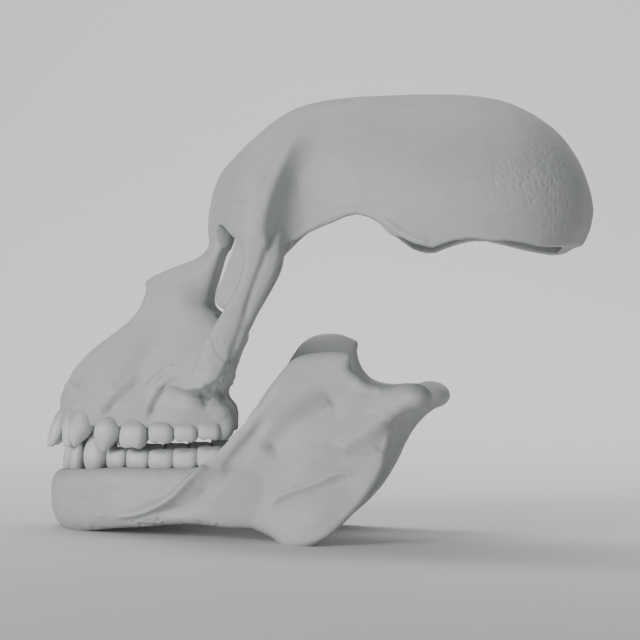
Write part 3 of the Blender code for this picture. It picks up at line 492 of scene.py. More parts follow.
def cranium(grain, passes=6):
    shell = vault()
    pieces = face()
    body = fuse("cranium", [shell, *pieces], grain, passes)
    cutters = [polygon_plate("slit", SLIT, SLIT_HALF_WIDTH, 90)]
    for side, shift in ((NEAR, 0.0), (FAR, FAR_ORBIT_STEP)):
        cutters.append(orbit_cutter(side, shift))
    c, s = superellipse(32, 2.3)
    rings = []
    for x, half, low, high in NOSE_HOLLOW:
        up = (low + high) / 2 + (high - low) / 2 * s
        rings.append(np.stack([np.full(len(c), x), half * c * (1 - 0.25 * s), up], 1))
    cutters.append(loft("nose", rings))
    rings = []
    for x, half, high in PALATE:
        rings.append(np.stack([np.full(len(c), x), half * c, TEETH_LEVEL + (high - TEETH_LEVEL) * s], 1))
    cutters.append(loft("palate", rings))
    cut(body, cutters)
    return body


# Mandible
def polygon_plate(name, outline, half, count=160):
    ring = smooth_path(outline, count, closed=True)
    rings = [np.stack([ring[:, 0], np.full(count, y), ring[:, 1]], 1) for y in (-half, half)]
    return loft(name, rings)


def edge_distance(x, z, outline, count=240):
    ring = smooth_path(outline, count, closed=True)
    best = np.full(len(x), ENDLESS)
    for start, end in zip(ring, np.roll(ring, -1, axis=0)):
        ex, ez, _ = to_segment(x, z, start, end)
        best = np.minimum(best, np.hypot(ex, ez))
    return best


RAMUS_NEAR = [
    (-38.6, 20.8), (-34.8, 24.2), (-32.0, 27.4), (-29.2, 30.6), (-25.9, 34.2), (-22.0, 38.8), (-18.9, 43.8),
    (-15.6, 49.2), (-12.5, 53.6), (-9.6, 57.4), (-7.0, 60.0), (-2.9, 61.6), (2.5, 62.6), (7.9, 63.0),
    (12.0, 61.9), (11.6, 58.0), (14.1, 55.6), (18.0, 53.2), (23.4, 52.2), (28.0, 52.2), (34.4, 52.2),
    (37.6, 49.6), (36.0, 47.0), (30.6, 45.2), (26.6, 42.6), (26.1, 38.6), (25.6, 34.3), (24.2, 28.9),
    (22.2, 23.6), (18.2, 16.5), (12.0, 8.9), (5.8, 2.7), (1.6, 0.0), (-2.7, -1.5), (-7.0, -1.5),
    (-12.4, 2.0), (-20.5, 4.8), (-29.3, 5.6), (-36.0, 8.0), (-40.0, 15.0),
]
RAMUS_FAR = [
    (-27.6, 24.0), (-23.7, 31.8), (-19.5, 37.5), (-16.5, 44.0), (-14.5, 50.0), (-12.8, 55.9), (-10.5, 60.4),
    (-7.1, 64.9), (-3.1, 67.4), (1.6, 68.4), (5.7, 68.3), (9.3, 67.2), (12.6, 65.6), (12.2, 62.5),
    (13.0, 58.8), (14.9, 55.3), (18.5, 52.4), (24.0, 51.2), (31.0, 51.6), (38.0, 51.0), (43.0, 49.0),
    (42.4, 44.4), (38.4, 41.2), (35.2, 38.0), (32.5, 34.4), (29.7, 28.8), (26.3, 22.2), (22.4, 15.2),
    (17.6, 9.8), (11.0, 4.0), (4.5, 0.4), (-0.5, -1.5), (-5.5, -1.5), (-10.0, 2.0), (-18.0, 4.8),
    (-27.0, 5.6), (-34.0, 8.0), (-34.0, 16.0),
]
# How far back the far side of the jaw sits: its upright plate, its body
FAR_PLATE_STEP = 5.0
FAR_BODY_STEP = 1.5


def ramus(side, outline, shift, grain):
    plate = polygon_plate("ramus", outline, 3.0)
    remesh = plate.modifiers.new("skin", "REMESH")
    remesh.mode = "VOXEL"
    remesh.voxel_size = grain * MM
    settle(plate)
    p = points_of(plate)
    x, y, z = p.T
    near = edge_distance(x, z, outline)
    xs = x - shift
    lean_out = 0.13 * np.clip(30 - z, 0, 40) * ramp(xs, -25, 5)
    lean_in = 0.2 * np.clip(z - 50, 0, 30)
    middle = 31.0 + 0.135 * (xs + 10) + lean_out - lean_in
    thick = 2.7 + 1.5 * ramp(z, 22, 6) + 0.9 * ramp(xs, 8, 22) * ramp(z, 55, 30)
    thick += 0.6 * ramp(-xs, 8, 22) - 1.6 * ramp(-xs, 26, 37)
    round_off = np.sqrt(np.clip(1 - (1 - np.clip(near / 3.2, 0, 1)) ** 2, 0.04, 1))
    y = side * (middle + y / 3.0 * thick * round_off)
    set_points(plate, np.stack([x, y, z], 1))
    if side < 0:
        plate.data.flip_normals()
    return plate


# Body of the jaw: way along the arch, then each section's middle, its foot and its top, its half thickness
ARCH = [
    # x,   y,    foot, top, half, lean
    (-8.0, 31.6, 5.0, 28.0, 1.6, 0.06),
    (-16.0, 31.4, 4.6, 28.0, 3.4, 0.08),
    (-26.0, 30.0, 4.6, 26.0, 5.4, 0.08),
    (-38.0, 27.0, 5.2, 23.5, 6.4, 0.05),
    (-52.0, 23.0, 3.7, 22.5, 6.2, 0.00),
    (-64.5, 18.6, 1.8, 22.1, 6.0, -0.05),
    (-74.4, 13.3, 0.2, 21.0, 6.9, -0.12),
    (-79.6, 6.8, -1.2, 20.4, 8.3, -0.20),
    (-81.0, 0.0, -1.2, 20.2, 8.9, -0.22),
]


def corpus():
    rows = np.array(ARCH)
    mirror = rows[-2::-1].copy()
    mirror[:, 1] *= -1
    whole = np.vstack([rows, mirror])
    path = smooth_path(whole, 110)
    along = np.gradient(path[:, :2], axis=0)
    along /= np.linalg.norm(along, axis=1)[:, None]
    rings = []
    c, s = superellipse(36, 2.7)
    for (x, y, foot, top, half, lean), (ax, ay) in zip(path, along):
        out = np.array((ay, -ax))
        if out @ np.array((x + 30.0, y)) < 0:
            out = -out
        up = (foot + top) / 2 + (top - foot) / 2 * s
        reach = half * c * (1 + 0.12 * -s) - lean * (up - 10)
        rings.append(np.stack([x + reach * out[0], y + reach * out[1], up], 1))
    return loft("corpus", rings)


def mandible(grain, passes=8):
    pieces = [corpus(), ramus(NEAR, RAMUS_NEAR, 0.0, grain), ramus(FAR, RAMUS_FAR, FAR_PLATE_STEP, grain)]
    pieces.append(ball("condyle", (32.6, -36.0, 48.9), (6.0, 8.2, 4.6), (0, 0, -8)))
    pieces.append(tube("neck", [(10, -32.6, 40), (19, -34.6, 45.2), (30, -37.2, 48.7)], [2.6, 3.8, 4.6]))
    pieces.append(ball("condyle", (38.6, 36.0, 47.6), (7.0, 8.2, 4.9), (0, 0, 8)))
    pieces.append(tube("neck", [(17, 33.0, 40), (26, 34.6, 43.5), (37, 37.2, 47.6)], [2.4, 3.4, 4.6]))
    body = fuse("mandible", pieces, grain, passes)
    return body


# Teeth
# Crown profile: share of the height, share of the breadth
UPPER_CHEEK = [
    (-0.45, 0.3), (-0.16, 0.52), (-0.05, 0.7), (0.04, 0.86), (0.15, 0.95), (0.3, 1.0), (0.5, 1.0),
    (0.7, 0.955), (0.86, 0.85),
]
LOWER_CHEEK = [
    (-0.45, 0.3), (-0.16, 0.52), (-0.05, 0.7), (0.03, 0.86), (0.13, 0.95), (0.25, 0.99), (0.45, 1.0),
    (0.68, 0.99), (0.87, 0.96),
]
LEAF = [
    (-0.05, 0.3), (0.0, 0.52), (0.08, 0.76), (0.2, 0.93), (0.36, 1.0), (0.5, 0.98), (0.64, 0.84),
    (0.78, 0.6), (0.9, 0.34), (0.97, 0.16), (1.0, 0.05),
]
BLADE = [
    (-0.1, 0.42), (-0.03, 0.6), (0.05, 0.76), (0.2, 0.92), (0.45, 1.0), (0.75, 0.95), (0.92, 0.78),
    (1.0, 0.5),
]
# Share of its height that a cheek tooth lacks where it is worn; height of its cusps, upper and lower row
CHEEK_WEAR = 0.17
CUSPS = {-1: 0.4, 1: 0.22}


def crown(name, place, facing, sizes, kind, lean=0.0, tip=0.0, up=-1, sides=16, caps=2):
    """One tooth: the place of its neck, the way its outer face looks, its length along the row, its breadth
    and its height. The crown grows down from the upper jaw (up = -1) or up from the lower one (up = 1)."""
    length, breadth, height = sizes
    profile = {"cheek": UPPER_CHEEK if up < 0 else LOWER_CHEEK, "leaf": LEAF, "blade": BLADE}[kind]
    cusps = CUSPS[up]
    out = np.array((math.cos(math.radians(facing)), math.sin(math.radians(facing)), 0.0))
    row = np.array((-out[1], out[0], 0.0))
    rise = np.array((0.0, 0.0, float(up))) + out * lean
    rise /= np.linalg.norm(rise)
    c, s = superellipse(sides, 3.8 if kind == "cheek" else 2.3)

    def ring(along, across, tall):
        return np.array(place) + along[:, None] * row + across[:, None] * out + tall[:, None] * rise

    def worn(across):
        """Share of its height that a cheek tooth lacks on the side where the other row bites."""
        return CHEEK_WEAR * np.clip(up * across / (breadth / 2), 0, 1) if kind == "cheek" else 0.0 * across

    rings = []
    for share, size in profile:
        high = max(share, 0.0)
        thin = size * (1 - 0.45 * high**1.5) if kind == "blade" else size
        along = length / 2 * size * c + tip * high**1.4
        across = breadth / 2 * thin * s
        if kind == "leaf":
            across = across - breadth * 0.08 * high
        tall = share * height * (1 - worn(across))
        if kind == "cheek" and share > 0.8:
            tall = tall + cusps * 0.3 * np.abs(c * s)
        rings.append(ring(along, across, tall))
    if kind == "cheek":
        for size in np.linspace(0.66, 0.12, caps):
            along = length / 2 * size * c
            across = breadth / 2 * size * s
            bump = np.abs(np.sin(math.pi * along / length * 1.7) * np.sin(math.pi * across / breadth * 1.7))
            tall = height * 0.9 * (1 - worn(across)) + cusps * (bump * 1.2 - 0.3)
            rings.append(ring(along, across, tall))
    return loft(name, rings)


# Each tooth of one side: name, form, place along the head and across it, neck, tip, length, breadth,
# shift of the tip along the row, way its outer face looks from straight ahead, forward lean
UPPER = [
    ("i1", "blade", -85.0, 4.0, 40.2, 26.4, 7.6, 7.0, 0.0, 12, 0.40),
    ("i2", "blade", -82.2, 10.4, 39.8, 27.6, 5.0, 6.2, 0.0, 42, 0.10),
    ("c", "leaf", -76.6, 16.0, 41.2, 28.0, 8.4, 8.8, 4.2, 64, 0.06),
    ("p3", "leaf", -68.2, 19.2, 38.9, 26.9, 8.8, 9.4, 1.6, 76, 0.10),
    ("p4", "cheek", -59.2, 20.8, 36.8, 28.2, 8.9, 10.2, 0.7, 80, 0.03),
    ("m1", "cheek", -50.2, 21.6, 37.3, 30.4, 8.5, 10.8, 0.0, 85, 0.0),
    ("m2", "cheek", -42.1, 22.2, 37.5, 31.1, 7.9, 10.4, 0.0, 88, 0.0),
    ("m3", "cheek", -34.4, 22.4, 38.3, 32.1, 7.9, 9.8, 0.0, 92, 0.0),
]
LOWER = [
    ("i1", "blade", -83.4, 2.9, 19.4, 29.4, 5.4, 5.8, 0.0, 8, 0.0),
    ("i2", "blade", -80.2, 8.2, 19.6, 29.6, 4.9, 5.8, 0.0, 46, 0.0),
    ("c", "leaf", -73.5, 12.8, 19.6, 34.4, 8.0, 7.6, 0.2, 62, 0.0),
    ("p3", "cheek", -65.6, 13.9, 21.4, 29.0, 7.2, 6.8, 0.0, 74, 0.0),
    ("p4", "cheek", -58.1, 16.2, 21.6, 29.0, 8.3, 7.8, 0.0, 78, 0.0),
    ("m1", "cheek", -50.0, 19.6, 21.8, 29.3, 8.8, 9.0, 0.0, 81, 0.0),
    ("m2", "cheek", -41.9, 21.2, 22.4, 29.9, 8.5, 9.2, 0.0, 83, 0.0),
    ("m3", "cheek", -33.8, 22.4, 23.4, 30.8, 8.6, 9.2, 0.0, 84, 0.0),
]


def teeth(rows, up, sides=16, caps=2):
    """Both sides of one row of teeth."""
    made = []
    for side, side_name in ((NEAR, "near"), (FAR, "far")):
        for name, kind, x, y, neck, end, length, breadth, tip, facing, lean in rows:
            look = 180 - side * facing
            sizes = (length, breadth, abs(end - neck))
            place = (x, side * y, neck)
            title = f"{name}_{side_name}"
            made.append(crown(title, place, look, sizes, kind, lean, tip * side, up, sides, caps))
    return made


# Relief
def normals_of(obj):
    n = np.empty(len(obj.data.vertices) * 3, np.float32)
    obj.data.vertices.foreach_get("normal", n)
    return n.reshape(-1, 3).astype(float)


def to_path(x, z, path):
    """Distance from the path, seen from the side, how far along it (0 to 1), and which hand it lies on."""
    path = smooth_path(path, 40) if len(path) > 2 else smooth_path([path[0], np.mean(path, 0), path[1]], 12)
    run = np.r_[0, np.cumsum(np.linalg.norm(np.diff(path, axis=0), axis=1))]
    best = np.full(len(x), ENDLESS)
    along = np.zeros(len(x))
    hand = np.zeros(len(x))
    for i in range(len(path) - 1):
        dx, dz = path[i + 1] - path[i]
        ex, ez, t = to_segment(x, z, path[i], path[i + 1])
        d = np.hypot(ex, ez)
        near = d < best
        best[near] = d[near]
        along[near] = (run[i] + t[near] * (run[i + 1] - run[i])) / run[-1]
        hand[near] = np.sign(dx * ez - dz * ex)[near]
    return best, along, hand


class Relief:
    """Raises and sinks a skin along its normals, near lines and spots given as seen from the side."""

    def __init__(self, obj):
        self.obj = obj
        self.p = points_of(obj)
        self.n = normals_of(obj)
        self.lift = np.zeros(len(self.p))

    def side(self, side, shift, face=0.15):
        """How much each point belongs to the outer wall of one side."""
        out = self.n[:, 1] * side
        on = self.p[:, 1] * side > 1
        return on * ramp(out, face, face + 0.35), self.p[:, 0] - shift, self.p[:, 2]

    def stroke(self, path, width, height, side=-1, shift=0.0, face=0.15, ends=0.12, step=0.0):
        """A ridge or groove along a line; with a step, one hand of it is sunk further than the other."""
        part, x, z = self.side(side, shift, face)
        path = np.asarray(path, float)
        reach = width * 5
        (left, low), (right, high) = path.min(0) - reach, path.max(0) + reach
        box_on = (x > left) & (x < right) & (z > low) & (z < high) & (part > 0)
        if not box_on.any():
            return
        d, along, hand = to_path(x[box_on], z[box_on], path)
        fade = np.minimum(ramp(along, 0, ends), 1 - ramp(along, 1 - ends, 1))
        if ends <= 0:
            fade = 1.0
        past = np.exp(-((d / width) ** 2))
        rise = height * past
        if step:
            sunk = np.where(hand > 0, 1, 0) * ramp(d, 0, width * 0.6)
            rise = rise + step * sunk * np.exp(-((d / (width * 2.6)) ** 2))
        self.lift[box_on] += rise * fade * part[box_on]

    def spot(self, centre, radius, height, side=-1, shift=0.0, face=0.1, turn=0.0):
        part, x, z = self.side(side, shift, face)
        rx, rz = radius if isinstance(radius, tuple) else (radius, radius)
        dx, dz = x - centre[0], z - centre[1]
        c, s = math.cos(math.radians(turn)), math.sin(math.radians(turn))
        u, v = (dx * c + dz * s) / rx, (-dx * s + dz * c) / rz
        self.lift += height * np.exp(-(u * u + v * v)) * part

    def patch(self, outline, depth, feather, side=-1, shift=0.0, face=0.0):
        """Lifts or sinks the skin inside an outline, to its full depth a feather inside the edge."""
        part, x, z = self.side(side, shift, face)
        ring = smooth_path(outline, 6 * len(outline), closed=True)
        low, high = ring.min(0), ring.max(0)
        on = (x > low[0]) & (x < high[0]) & (z > low[1]) & (z < high[1]) & (part > 0)
        if not on.any():
            return
        px, pz = x[on], z[on]
        inside = np.zeros(len(px), bool)
        best = np.full(len(px), ENDLESS)
        for (ax, az), (bx, bz) in zip(ring, np.roll(ring, -1, axis=0)):
            cross = ((az > pz) != (bz > pz)) & (px < (bx - ax) * (pz - az) / (bz - az + TINY) + ax)
            inside ^= cross
            ex, ez, _ = to_segment(px, pz, (ax, az), (bx, bz))
            best = np.minimum(best, np.hypot(ex, ez))
        self.lift[on] += np.where(inside, depth * ramp(best, -feather * 0.15, feather), 0) * part[on]

    def both(self, kind, *args, far=0.0, **more):
        getattr(self, kind)(*args, side=-1, **more)
        getattr(self, kind)(*args, side=1, shift=far, **more)

    def grain(self, where, size, height, seed=0, wormy=False):
        """Fine unevenness over the points that the weight marks."""
        spots = np.nonzero(where > 0.02)[0]
        out = np.empty(len(spots))
        for k, i in enumerate(spots):
            v = Vector(self.p[i]) / size + Vector((seed * 7.3, seed * 3.1, 0))
            if wormy:
                out[k] = 1 - 2.2 * abs(noise.noise(v)) - 0.8 * abs(noise.noise(v * 2.1))
            else:
                out[k] = noise.fractal(v, 0.7, 2.1, 4)
        self.lift[spots] += height * out * where[spots]

    def done(self):
        set_points(self.obj, self.p + self.n * self.lift[:, None])
        return self.obj


def jaw_relief(obj):
    r = Relief(obj)
    far = FAR_PLATE_STEP
    # oblique line from the front edge of the upright plate down to the chin, with a hollow behind it
    ridge = [(-17.2, 46.0), (-22.2, 39.6), (-26.3, 34.2), (-30.0, 30.2), (-34.6, 24.6), (-38.8, 20.4),
        (-45.4, 13.6)]
    r.both("stroke", [*ridge, (-52.5, 9.4), (-60.6, 7.0), (-67.2, 6.1)], 0.95, 1.9, far=FAR_BODY_STEP,
        face=0.05, ends=0.14)
    r.both("stroke", [(-12.0, 43.0), (-17.2, 38.4), (-23.8, 30.0), (-29.9, 23.2), (-35.3, 17.4),
        (-41.1, 12.0), (-47.6, 8.6), (-54, 6.0)], 2.8, -2.7, far=FAR_BODY_STEP, face=0.0, ends=0.2)
    r.both("stroke", [(-24, 36), (-29, 31.5), (-33.5, 27.5), (-39, 22.5), (-45, 17.4), (-51, 13.6),
        (-58, 11)], 1.8, -0.6, far=FAR_BODY_STEP, face=0.0)
    r.both("spot", (-28, 14), (12, 5), -0.9, far=FAR_BODY_STEP, turn=-10)
    r.both("spot", (-62, 14), (9, 4.0), -0.8)
    # hollow below the coronoid, running down and forward
    r.both("spot", (4.5, 45.5), (10.5, 5.2), -1.9, far=far, turn=24)
    r.both("stroke", [(8, 47.5), (0.7, 43.1), (-5.0, 39.2), (-10.8, 34.2), (-15.5, 29.0)], 4.0, -1.8,
        far=far)
    r.both("stroke", [(30.6, 47.6), (26.0, 44.4), (21.5, 40.6), (15.2, 35.4), (8.1, 30.4)], 3.0, 1.5,
        far=far)
    r.both("stroke", [(22.6, 51.0), (17.5, 50.8), (13.0, 54.0)], 2.0, 0.5, far=far)
    r.both("spot", (17.5, 46.5), (5.5, 3.2), -0.8, far=far, turn=30)
    r.both("stroke", [(25.5, 41.0), (23.5, 36.0), (21.5, 31.0)], 2.4, -0.9, far=far)
    r.both("spot", (3.5, 33.0), (9, 6), 0.9, far=far, turn=30)
    # roughened rim of the corner and the crest above it
    r.both("stroke", [(-12.9, 9.9), (-12.0, 13.4), (-9.2, 15.7), (-3.2, 18.3), (1.9, 20.2), (8.3, 23.4),
        (14.4, 23.9)], 0.8, 0.8, far=far, ends=0.2)
    r.both("stroke", [(-11.2, 9.6), (-10.2, 11.9), (-7.4, 13.9), (-2.4, 16.1), (3.0, 18.0), (9.0, 20.9),
        (14.8, 21.4)], 1.5, -0.5, far=far, ends=0.2)
    r.both("spot", (4, 11), (9, 4), 0.9, far=far, turn=35)
    r.both("spot", (0.0, 25.5), (10, 3.6), 0.5, far=far, turn=20)
    r.both("stroke", [(24.5, 31.9), (22.4, 26.1), (19.3, 20.2), (15.3, 14.3), (10.4, 8.6), (5.0, 4.0),
        (-1, 2.0), (-9, 3.2)], 1.3, 0.7, far=far, face=-0.2)
    for k in range(13):
        t = k / 12
        x = 22.5 - 9.5 * t + 0.8 * math.sin(k * 2.3)
        z = 31.0 - 12.0 * t
        long = 5.0 + 2.2 * math.sin(k * 1.7)
        r.both("stroke", [(x, z), (x - long * 0.5, z - 0.5), (x - long, z - 0.3 + 0.5 * math.sin(k))], 0.38,
            -0.28, far=far)
    # chin: wrinkles, a small bump, and the roots under the front teeth
    for k in range(5):
        z = 20.0 - 1.1 * k
        start = -81.5 + 0.9 * math.sin(k * 2.1)
        r.both("stroke", [(start, z - 0.5), (start + 4.5, z), (start + 10.0, z - 0.2)], 0.4, -0.13)
    for k in range(4):
        z = 13.6 - 0.9 * k
        start = -81.0 + 1.6 * k
        lift = 0.28 if k % 2 else -0.3
        r.both("stroke", [(start, z - 0.6), (start + 2.6, z), (start + 6.4, z - 0.1)], 0.3, lift)
    r.both("spot", (-70.2, 6.4), (1.8, 1.0), 0.8)
    for row in LOWER:
        x, neck, length = row[2], row[4], row[6]
        root = [(x, neck + 0.5), (x + 0.1, neck - 3.0), (x + 0.3, neck - 6.5)]
        r.both("stroke", root, length * 0.32, 0.25, ends=0.4, face=0.0)
    foot = ramp(-r.p[:, 2], -9.5, -4.0)
    low = foot * ramp(-np.abs(r.p[:, 0] + 42), -24, -12) * ramp(np.abs(r.p[:, 1]), 12, 20)
    r.grain(low * ramp(np.abs(r.n[:, 1]) + np.clip(-r.n[:, 2], 0, 1), 0.2, 0.6), 1.7, 0.5, 3, wormy=True)
    front = ramp(-r.p[:, 0], 62, 72) * (1 - ramp(r.p[:, 2], 8, 14))
    r.grain(front, 2.4, 0.22, 5)
    r.grain(np.ones(len(r.p)) * 0.6, 9.0, 0.15, 6)
    return r.done()


def bell(x, z, middle, reach, steepness):
    """1 in the middle of an oval patch, falling to 0 past its reach."""
    u, v = (x - middle[0]) / reach[0], (z - middle[1]) / reach[1]
    return np.exp(-((u ** 2 + v ** 2) ** steepness))


def skull_relief(obj):
    """Relief of the whole upper skull, before it is parted."""
    r = Relief(obj)
    # temporal line, and the groove of the forehead in front of it
    r.both("stroke", [(-18.4, 96.0), (-17.9, 101.0), (-17.3, 107.5), (-16.0, 113.4), (-14.4, 118.6),
        (-12.0, 125.2), (-9.6, 130.4), (-6.8, 135.1)], 1.9, 0.8, ends=0.25)
    r.both("stroke", [(-13.2, 97.0), (-12.2, 103), (-11.2, 109), (-9.4, 115.4), (-7.0, 122), (-4.0, 128)],
        3.4, -0.6, ends=0.3)
    r.both("stroke", [(-36.4, 107.0), (-35.4, 112.3), (-33.0, 117.4), (-29.2, 121.8), (-23.3, 127.3),
        (-16.8, 132.6), (-11.2, 136.6)], 1.5, -0.6, face=-0.1, ends=0.2)
    r.both("stroke", [(-30.5, 108.0), (-28.0, 113.5), (-23.5, 119.5), (-18.0, 125.0)], 2.6, 0.35, face=0.0)
    r.stroke([(-28.4, 111.3), (-25.7, 111.0), (-22.8, 111.4)], 0.32, -0.4)
    # rim of the orbit's roof
    r.both("stroke", [(-33.4, 106.6), (-31.0, 104.8), (-28.0, 102.2), (-25.4, 99.5), (-23.9, 95.0),
        (-24.5, 90.0), (-26.6, 83.0), (-29.4, 76.6)], 1.0, 0.45, face=-0.2)
    r.both("stroke", [(-38.6, 96.5), (-38.4, 101), (-38.9, 106), (-38.3, 111)], 1.6, 0.3, face=-0.5)
    # flared and broken lower edge of the vault
    r.stroke([(-9.0, 98.7), (-5.8, 101.2), (-1.0, 104.4), (3.7, 107.1), (8.6, 108.9), (13.0, 109.2)], 1.0,
        0.7, ends=0.1, face=-0.1)
    r.stroke([(20.0, 106.3), (23.3, 104.4), (27.3, 101.6), (31.5, 99.6), (36.0, 99.0)], 1.0, 0.7, ends=0.1,
        face=-0.1)
    r.stroke([(8, 106.6), (24, 103.6), (31, 100.6), (38, 99.3), (52, 103.4), (68, 101.8), (84, 99.6)], 1.3,
        0.5, side=1, ends=0.1, face=-0.1)
    # wrinkled bone on the side and the rear of the vault
    x, y, z = r.p.T
    wall = ramp(np.abs(r.n[:, 1]), 0.25, 0.6) * ramp(np.abs(y), 14, 22)
    outside = ramp(np.einsum("ij,ij->i", r.n, (r.p - (30, 0, 108)) / 40), 0.05, 0.3)
    rear = bell(x, z, (67, 122), (20, 13), 1.6) + 0.75 * bell(x, z, (80, 108), (7, 9), 1.4)
    r.grain(np.clip(rear, 0, 1) * wall * outside, 1.25, 0.2, 1, wormy=True)
    mid = bell(x, z, (46, 116), (7, 4.5), 1.5) + bell(x, z, (15, 124), (3.0, 6.5), 1.5)
    r.grain(mid * 0.7 * wall * outside, 1.4, 0.16, 2, wormy=True)
    # snout: the root of the canine, hollows beside it, and the roots of the cheek teeth
    r.both("stroke", [(-57.5, 66.2), (-60.0, 60.5), (-63.6, 55.2), (-68.0, 50.6), (-72.6, 46.0)], 3.0, 0.7,
        face=0.0, ends=0.3)
    r.both("stroke", [(-86.3, 48.2), (-83.6, 48.6), (-80.1, 47.1)], 1.2, 0.5, face=-0.3, step=-0.6,
        ends=0.1)
    r.both("spot", (-57.0, 56.0), (7.0, 6.0), -0.9, face=0.0, turn=-30)
    step = [(-58.0, 56.0), (-61.6, 51.8), (-65.0, 48.4), (-68.6, 44.8), (-71.2, 41.0), (-72.6, 37.0)]
    r.both("stroke", step, 4.2, 0.0, face=-0.1, step=-1.7, ends=0.3)
    step = [(-44.6, 56.4), (-48.4, 53.4), (-51.6, 49.8), (-54.0, 46.0), (-55.6, 41.6), (-56.2, 36.6)]
    r.both("stroke", step, 3.4, 0.15, face=-0.1, step=-1.7, ends=0.25)
    r.both("spot", (-49.6, 44.6), (3.4, 2.6), 0.5, face=0.0, turn=40)
    r.both("patch", [(-45.1, 47.7), (-40.5, 47.6), (-35.9, 48.7), (-33.2, 45.8), (-35.1, 41.8),
        (-38.4, 43.1), (-41.7, 45.6)], -1.2, 3.2)
    r.patch([(-35.4, 50.0), (-32.6, 52.0), (-30.4, 54.3), (-28.8, 56.9), (-27.6, 59.6), (-23.7, 58.7),
        (-23.4, 48.4), (-31.1, 45.6)], -1.4, 3.0)
    r.both("spot", (-50.5, 60.5), (6.0, 5.0), -0.7, face=-0.1, turn=-30)
    r.both("stroke", [(-57.6, 52.6), (-59.4, 46.0), (-59.4, 39.0)], 3.2, 0.9, face=0.0, ends=0.35)
    r.both("stroke", [(-55.5, 48.9), (-53.3, 52.3), (-50.7, 54.4), (-47.8, 56.1), (-45.8, 56.8)], 0.8, 0.7,
        face=0.0, step=-0.7)
    r.both("stroke", [(-53.9, 50.2), (-51.9, 51.2), (-49.5, 52.3)], 0.5, 0.4, face=0.0, step=-0.3)
    r.both("spot", (-41.4, 43.4), (5.6, 3.4), 1.8, face=0.0)
    r.both("spot", (-30.5, 40.2), (3.0, 3.6), 0.5, face=0.0)
    r.both("stroke", [(-85.0, 52.4), (-81.0, 50.6), (-77.0, 47.6)], 1.8, -0.5, face=-0.4)
    r.both("spot", (-80.4, 41.8), (1.2, 1.5), 0.9, face=-0.2)
    r.both("spot", (-74.0, 56.0), (5.0, 4.0), -0.5, face=-0.3, turn=-45)
    # cheek: shallow bed, suture and fine lines; the edges of the break
    r.both("spot", (-36.7, 60.8), (2.2, 3.0), -0.55, face=0.0)
    r.both("spot", (-32.9, 65.2), (1.6, 1.4), 0.4, face=0.0)
    r.stroke([(-33.0, 66.8), (-32.0, 63.9), (-31.3, 61.7), (-29.6, 60.1), (-28.0, 58.9)], 0.35, -0.4,
        face=0.0, ends=0.05)
    for k in range(4):
        r.stroke([(-40.6 + 1.1 * k, 68.8 - 0.5 * k), (-39.2 + 1.0 * k, 66.0 - 0.5 * k),
            (-38.4 + 1.0 * k, 63.8 - 0.6 * k)], 0.35, -0.3, face=0.0)
    broken = [(-35.5, 49.7), (-33.2, 47.9), (-31.0, 50.3), (-29.2, 50.5), (-28.8, 52.6), (-26.9, 55.2),
        (-26.6, 59.0)]
    r.both("stroke", broken, 0.6, 0.7, face=-0.2, ends=0.08)
    r.both("stroke", [(-38.0, 46.8), (-35.6, 45.6), (-33.2, 45.8)], 0.5, -0.5, face=0.0)
    r.both("stroke", [(-37.0, 44.9), (-34.6, 44.2), (-31.8, 44.6)], 0.5, -0.5, face=0.0)
    r.both("stroke", [(-47.0, 49.9), (-42.2, 49.6), (-37.9, 50.2), (-34.0, 51.0)], 0.9, 0.6, face=-0.2)
    r.stroke([(-58.2, 86.9), (-55.4, 88.3), (-53.6, 88.6), (-51.8, 89.6)], 0.5, -0.4, face=-0.6)
    r.both("stroke", [(-57.0, 80.0), (-57.8, 76.0), (-60.0, 72.0), (-63.6, 68.4)], 1.1, 0.5, face=-0.3)
    r.both("stroke", [(-50.0, 84.0), (-46.0, 78.0), (-42.0, 72.6), (-38.0, 69.6)], 3.0, 0.35, face=-0.2)
    # pillar: groove between its outer face and the plate behind it
    r.both("stroke", [(-16.8, 97.0), (-17.2, 92.4), (-18.9, 86.9), (-20.4, 82.2), (-21.8, 77.3),
        (-23.0, 71.5)], 0.9, -0.4, far=-4.0, face=-0.3)
    ragged = ramp(-np.abs(z - 64), -9, -3) * ramp(-np.abs(x + 24), -8, -4) * ramp(np.abs(y), 26, 30)
    r.grain(ragged, 3.0, 0.22, 9)
    r.grain(np.ones(len(r.p)) * 0.6, 10.0, 0.15, 8)
    return r.done()


# Materials
BONE_GREY = (0.43, 0.452, 0.443)
SHADE_GREY = (0.365, 0.384, 0.376)
# paler tone for random specks and the enamel, and also the painted highlight on the bone's crests
PALE_GREY = (0.485, 0.505, 0.495)
# painted shade, laid into the bone's hollows by its finish
PAINTED_SHADE_GREY = (0.20, 0.205, 0.20)
ENAMEL_GREY = (0.55, 0.57, 0.56)
NECK_GREY = (0.33, 0.34, 0.332)
FLOOR_GREY = (0.72, 0.72, 0.715)


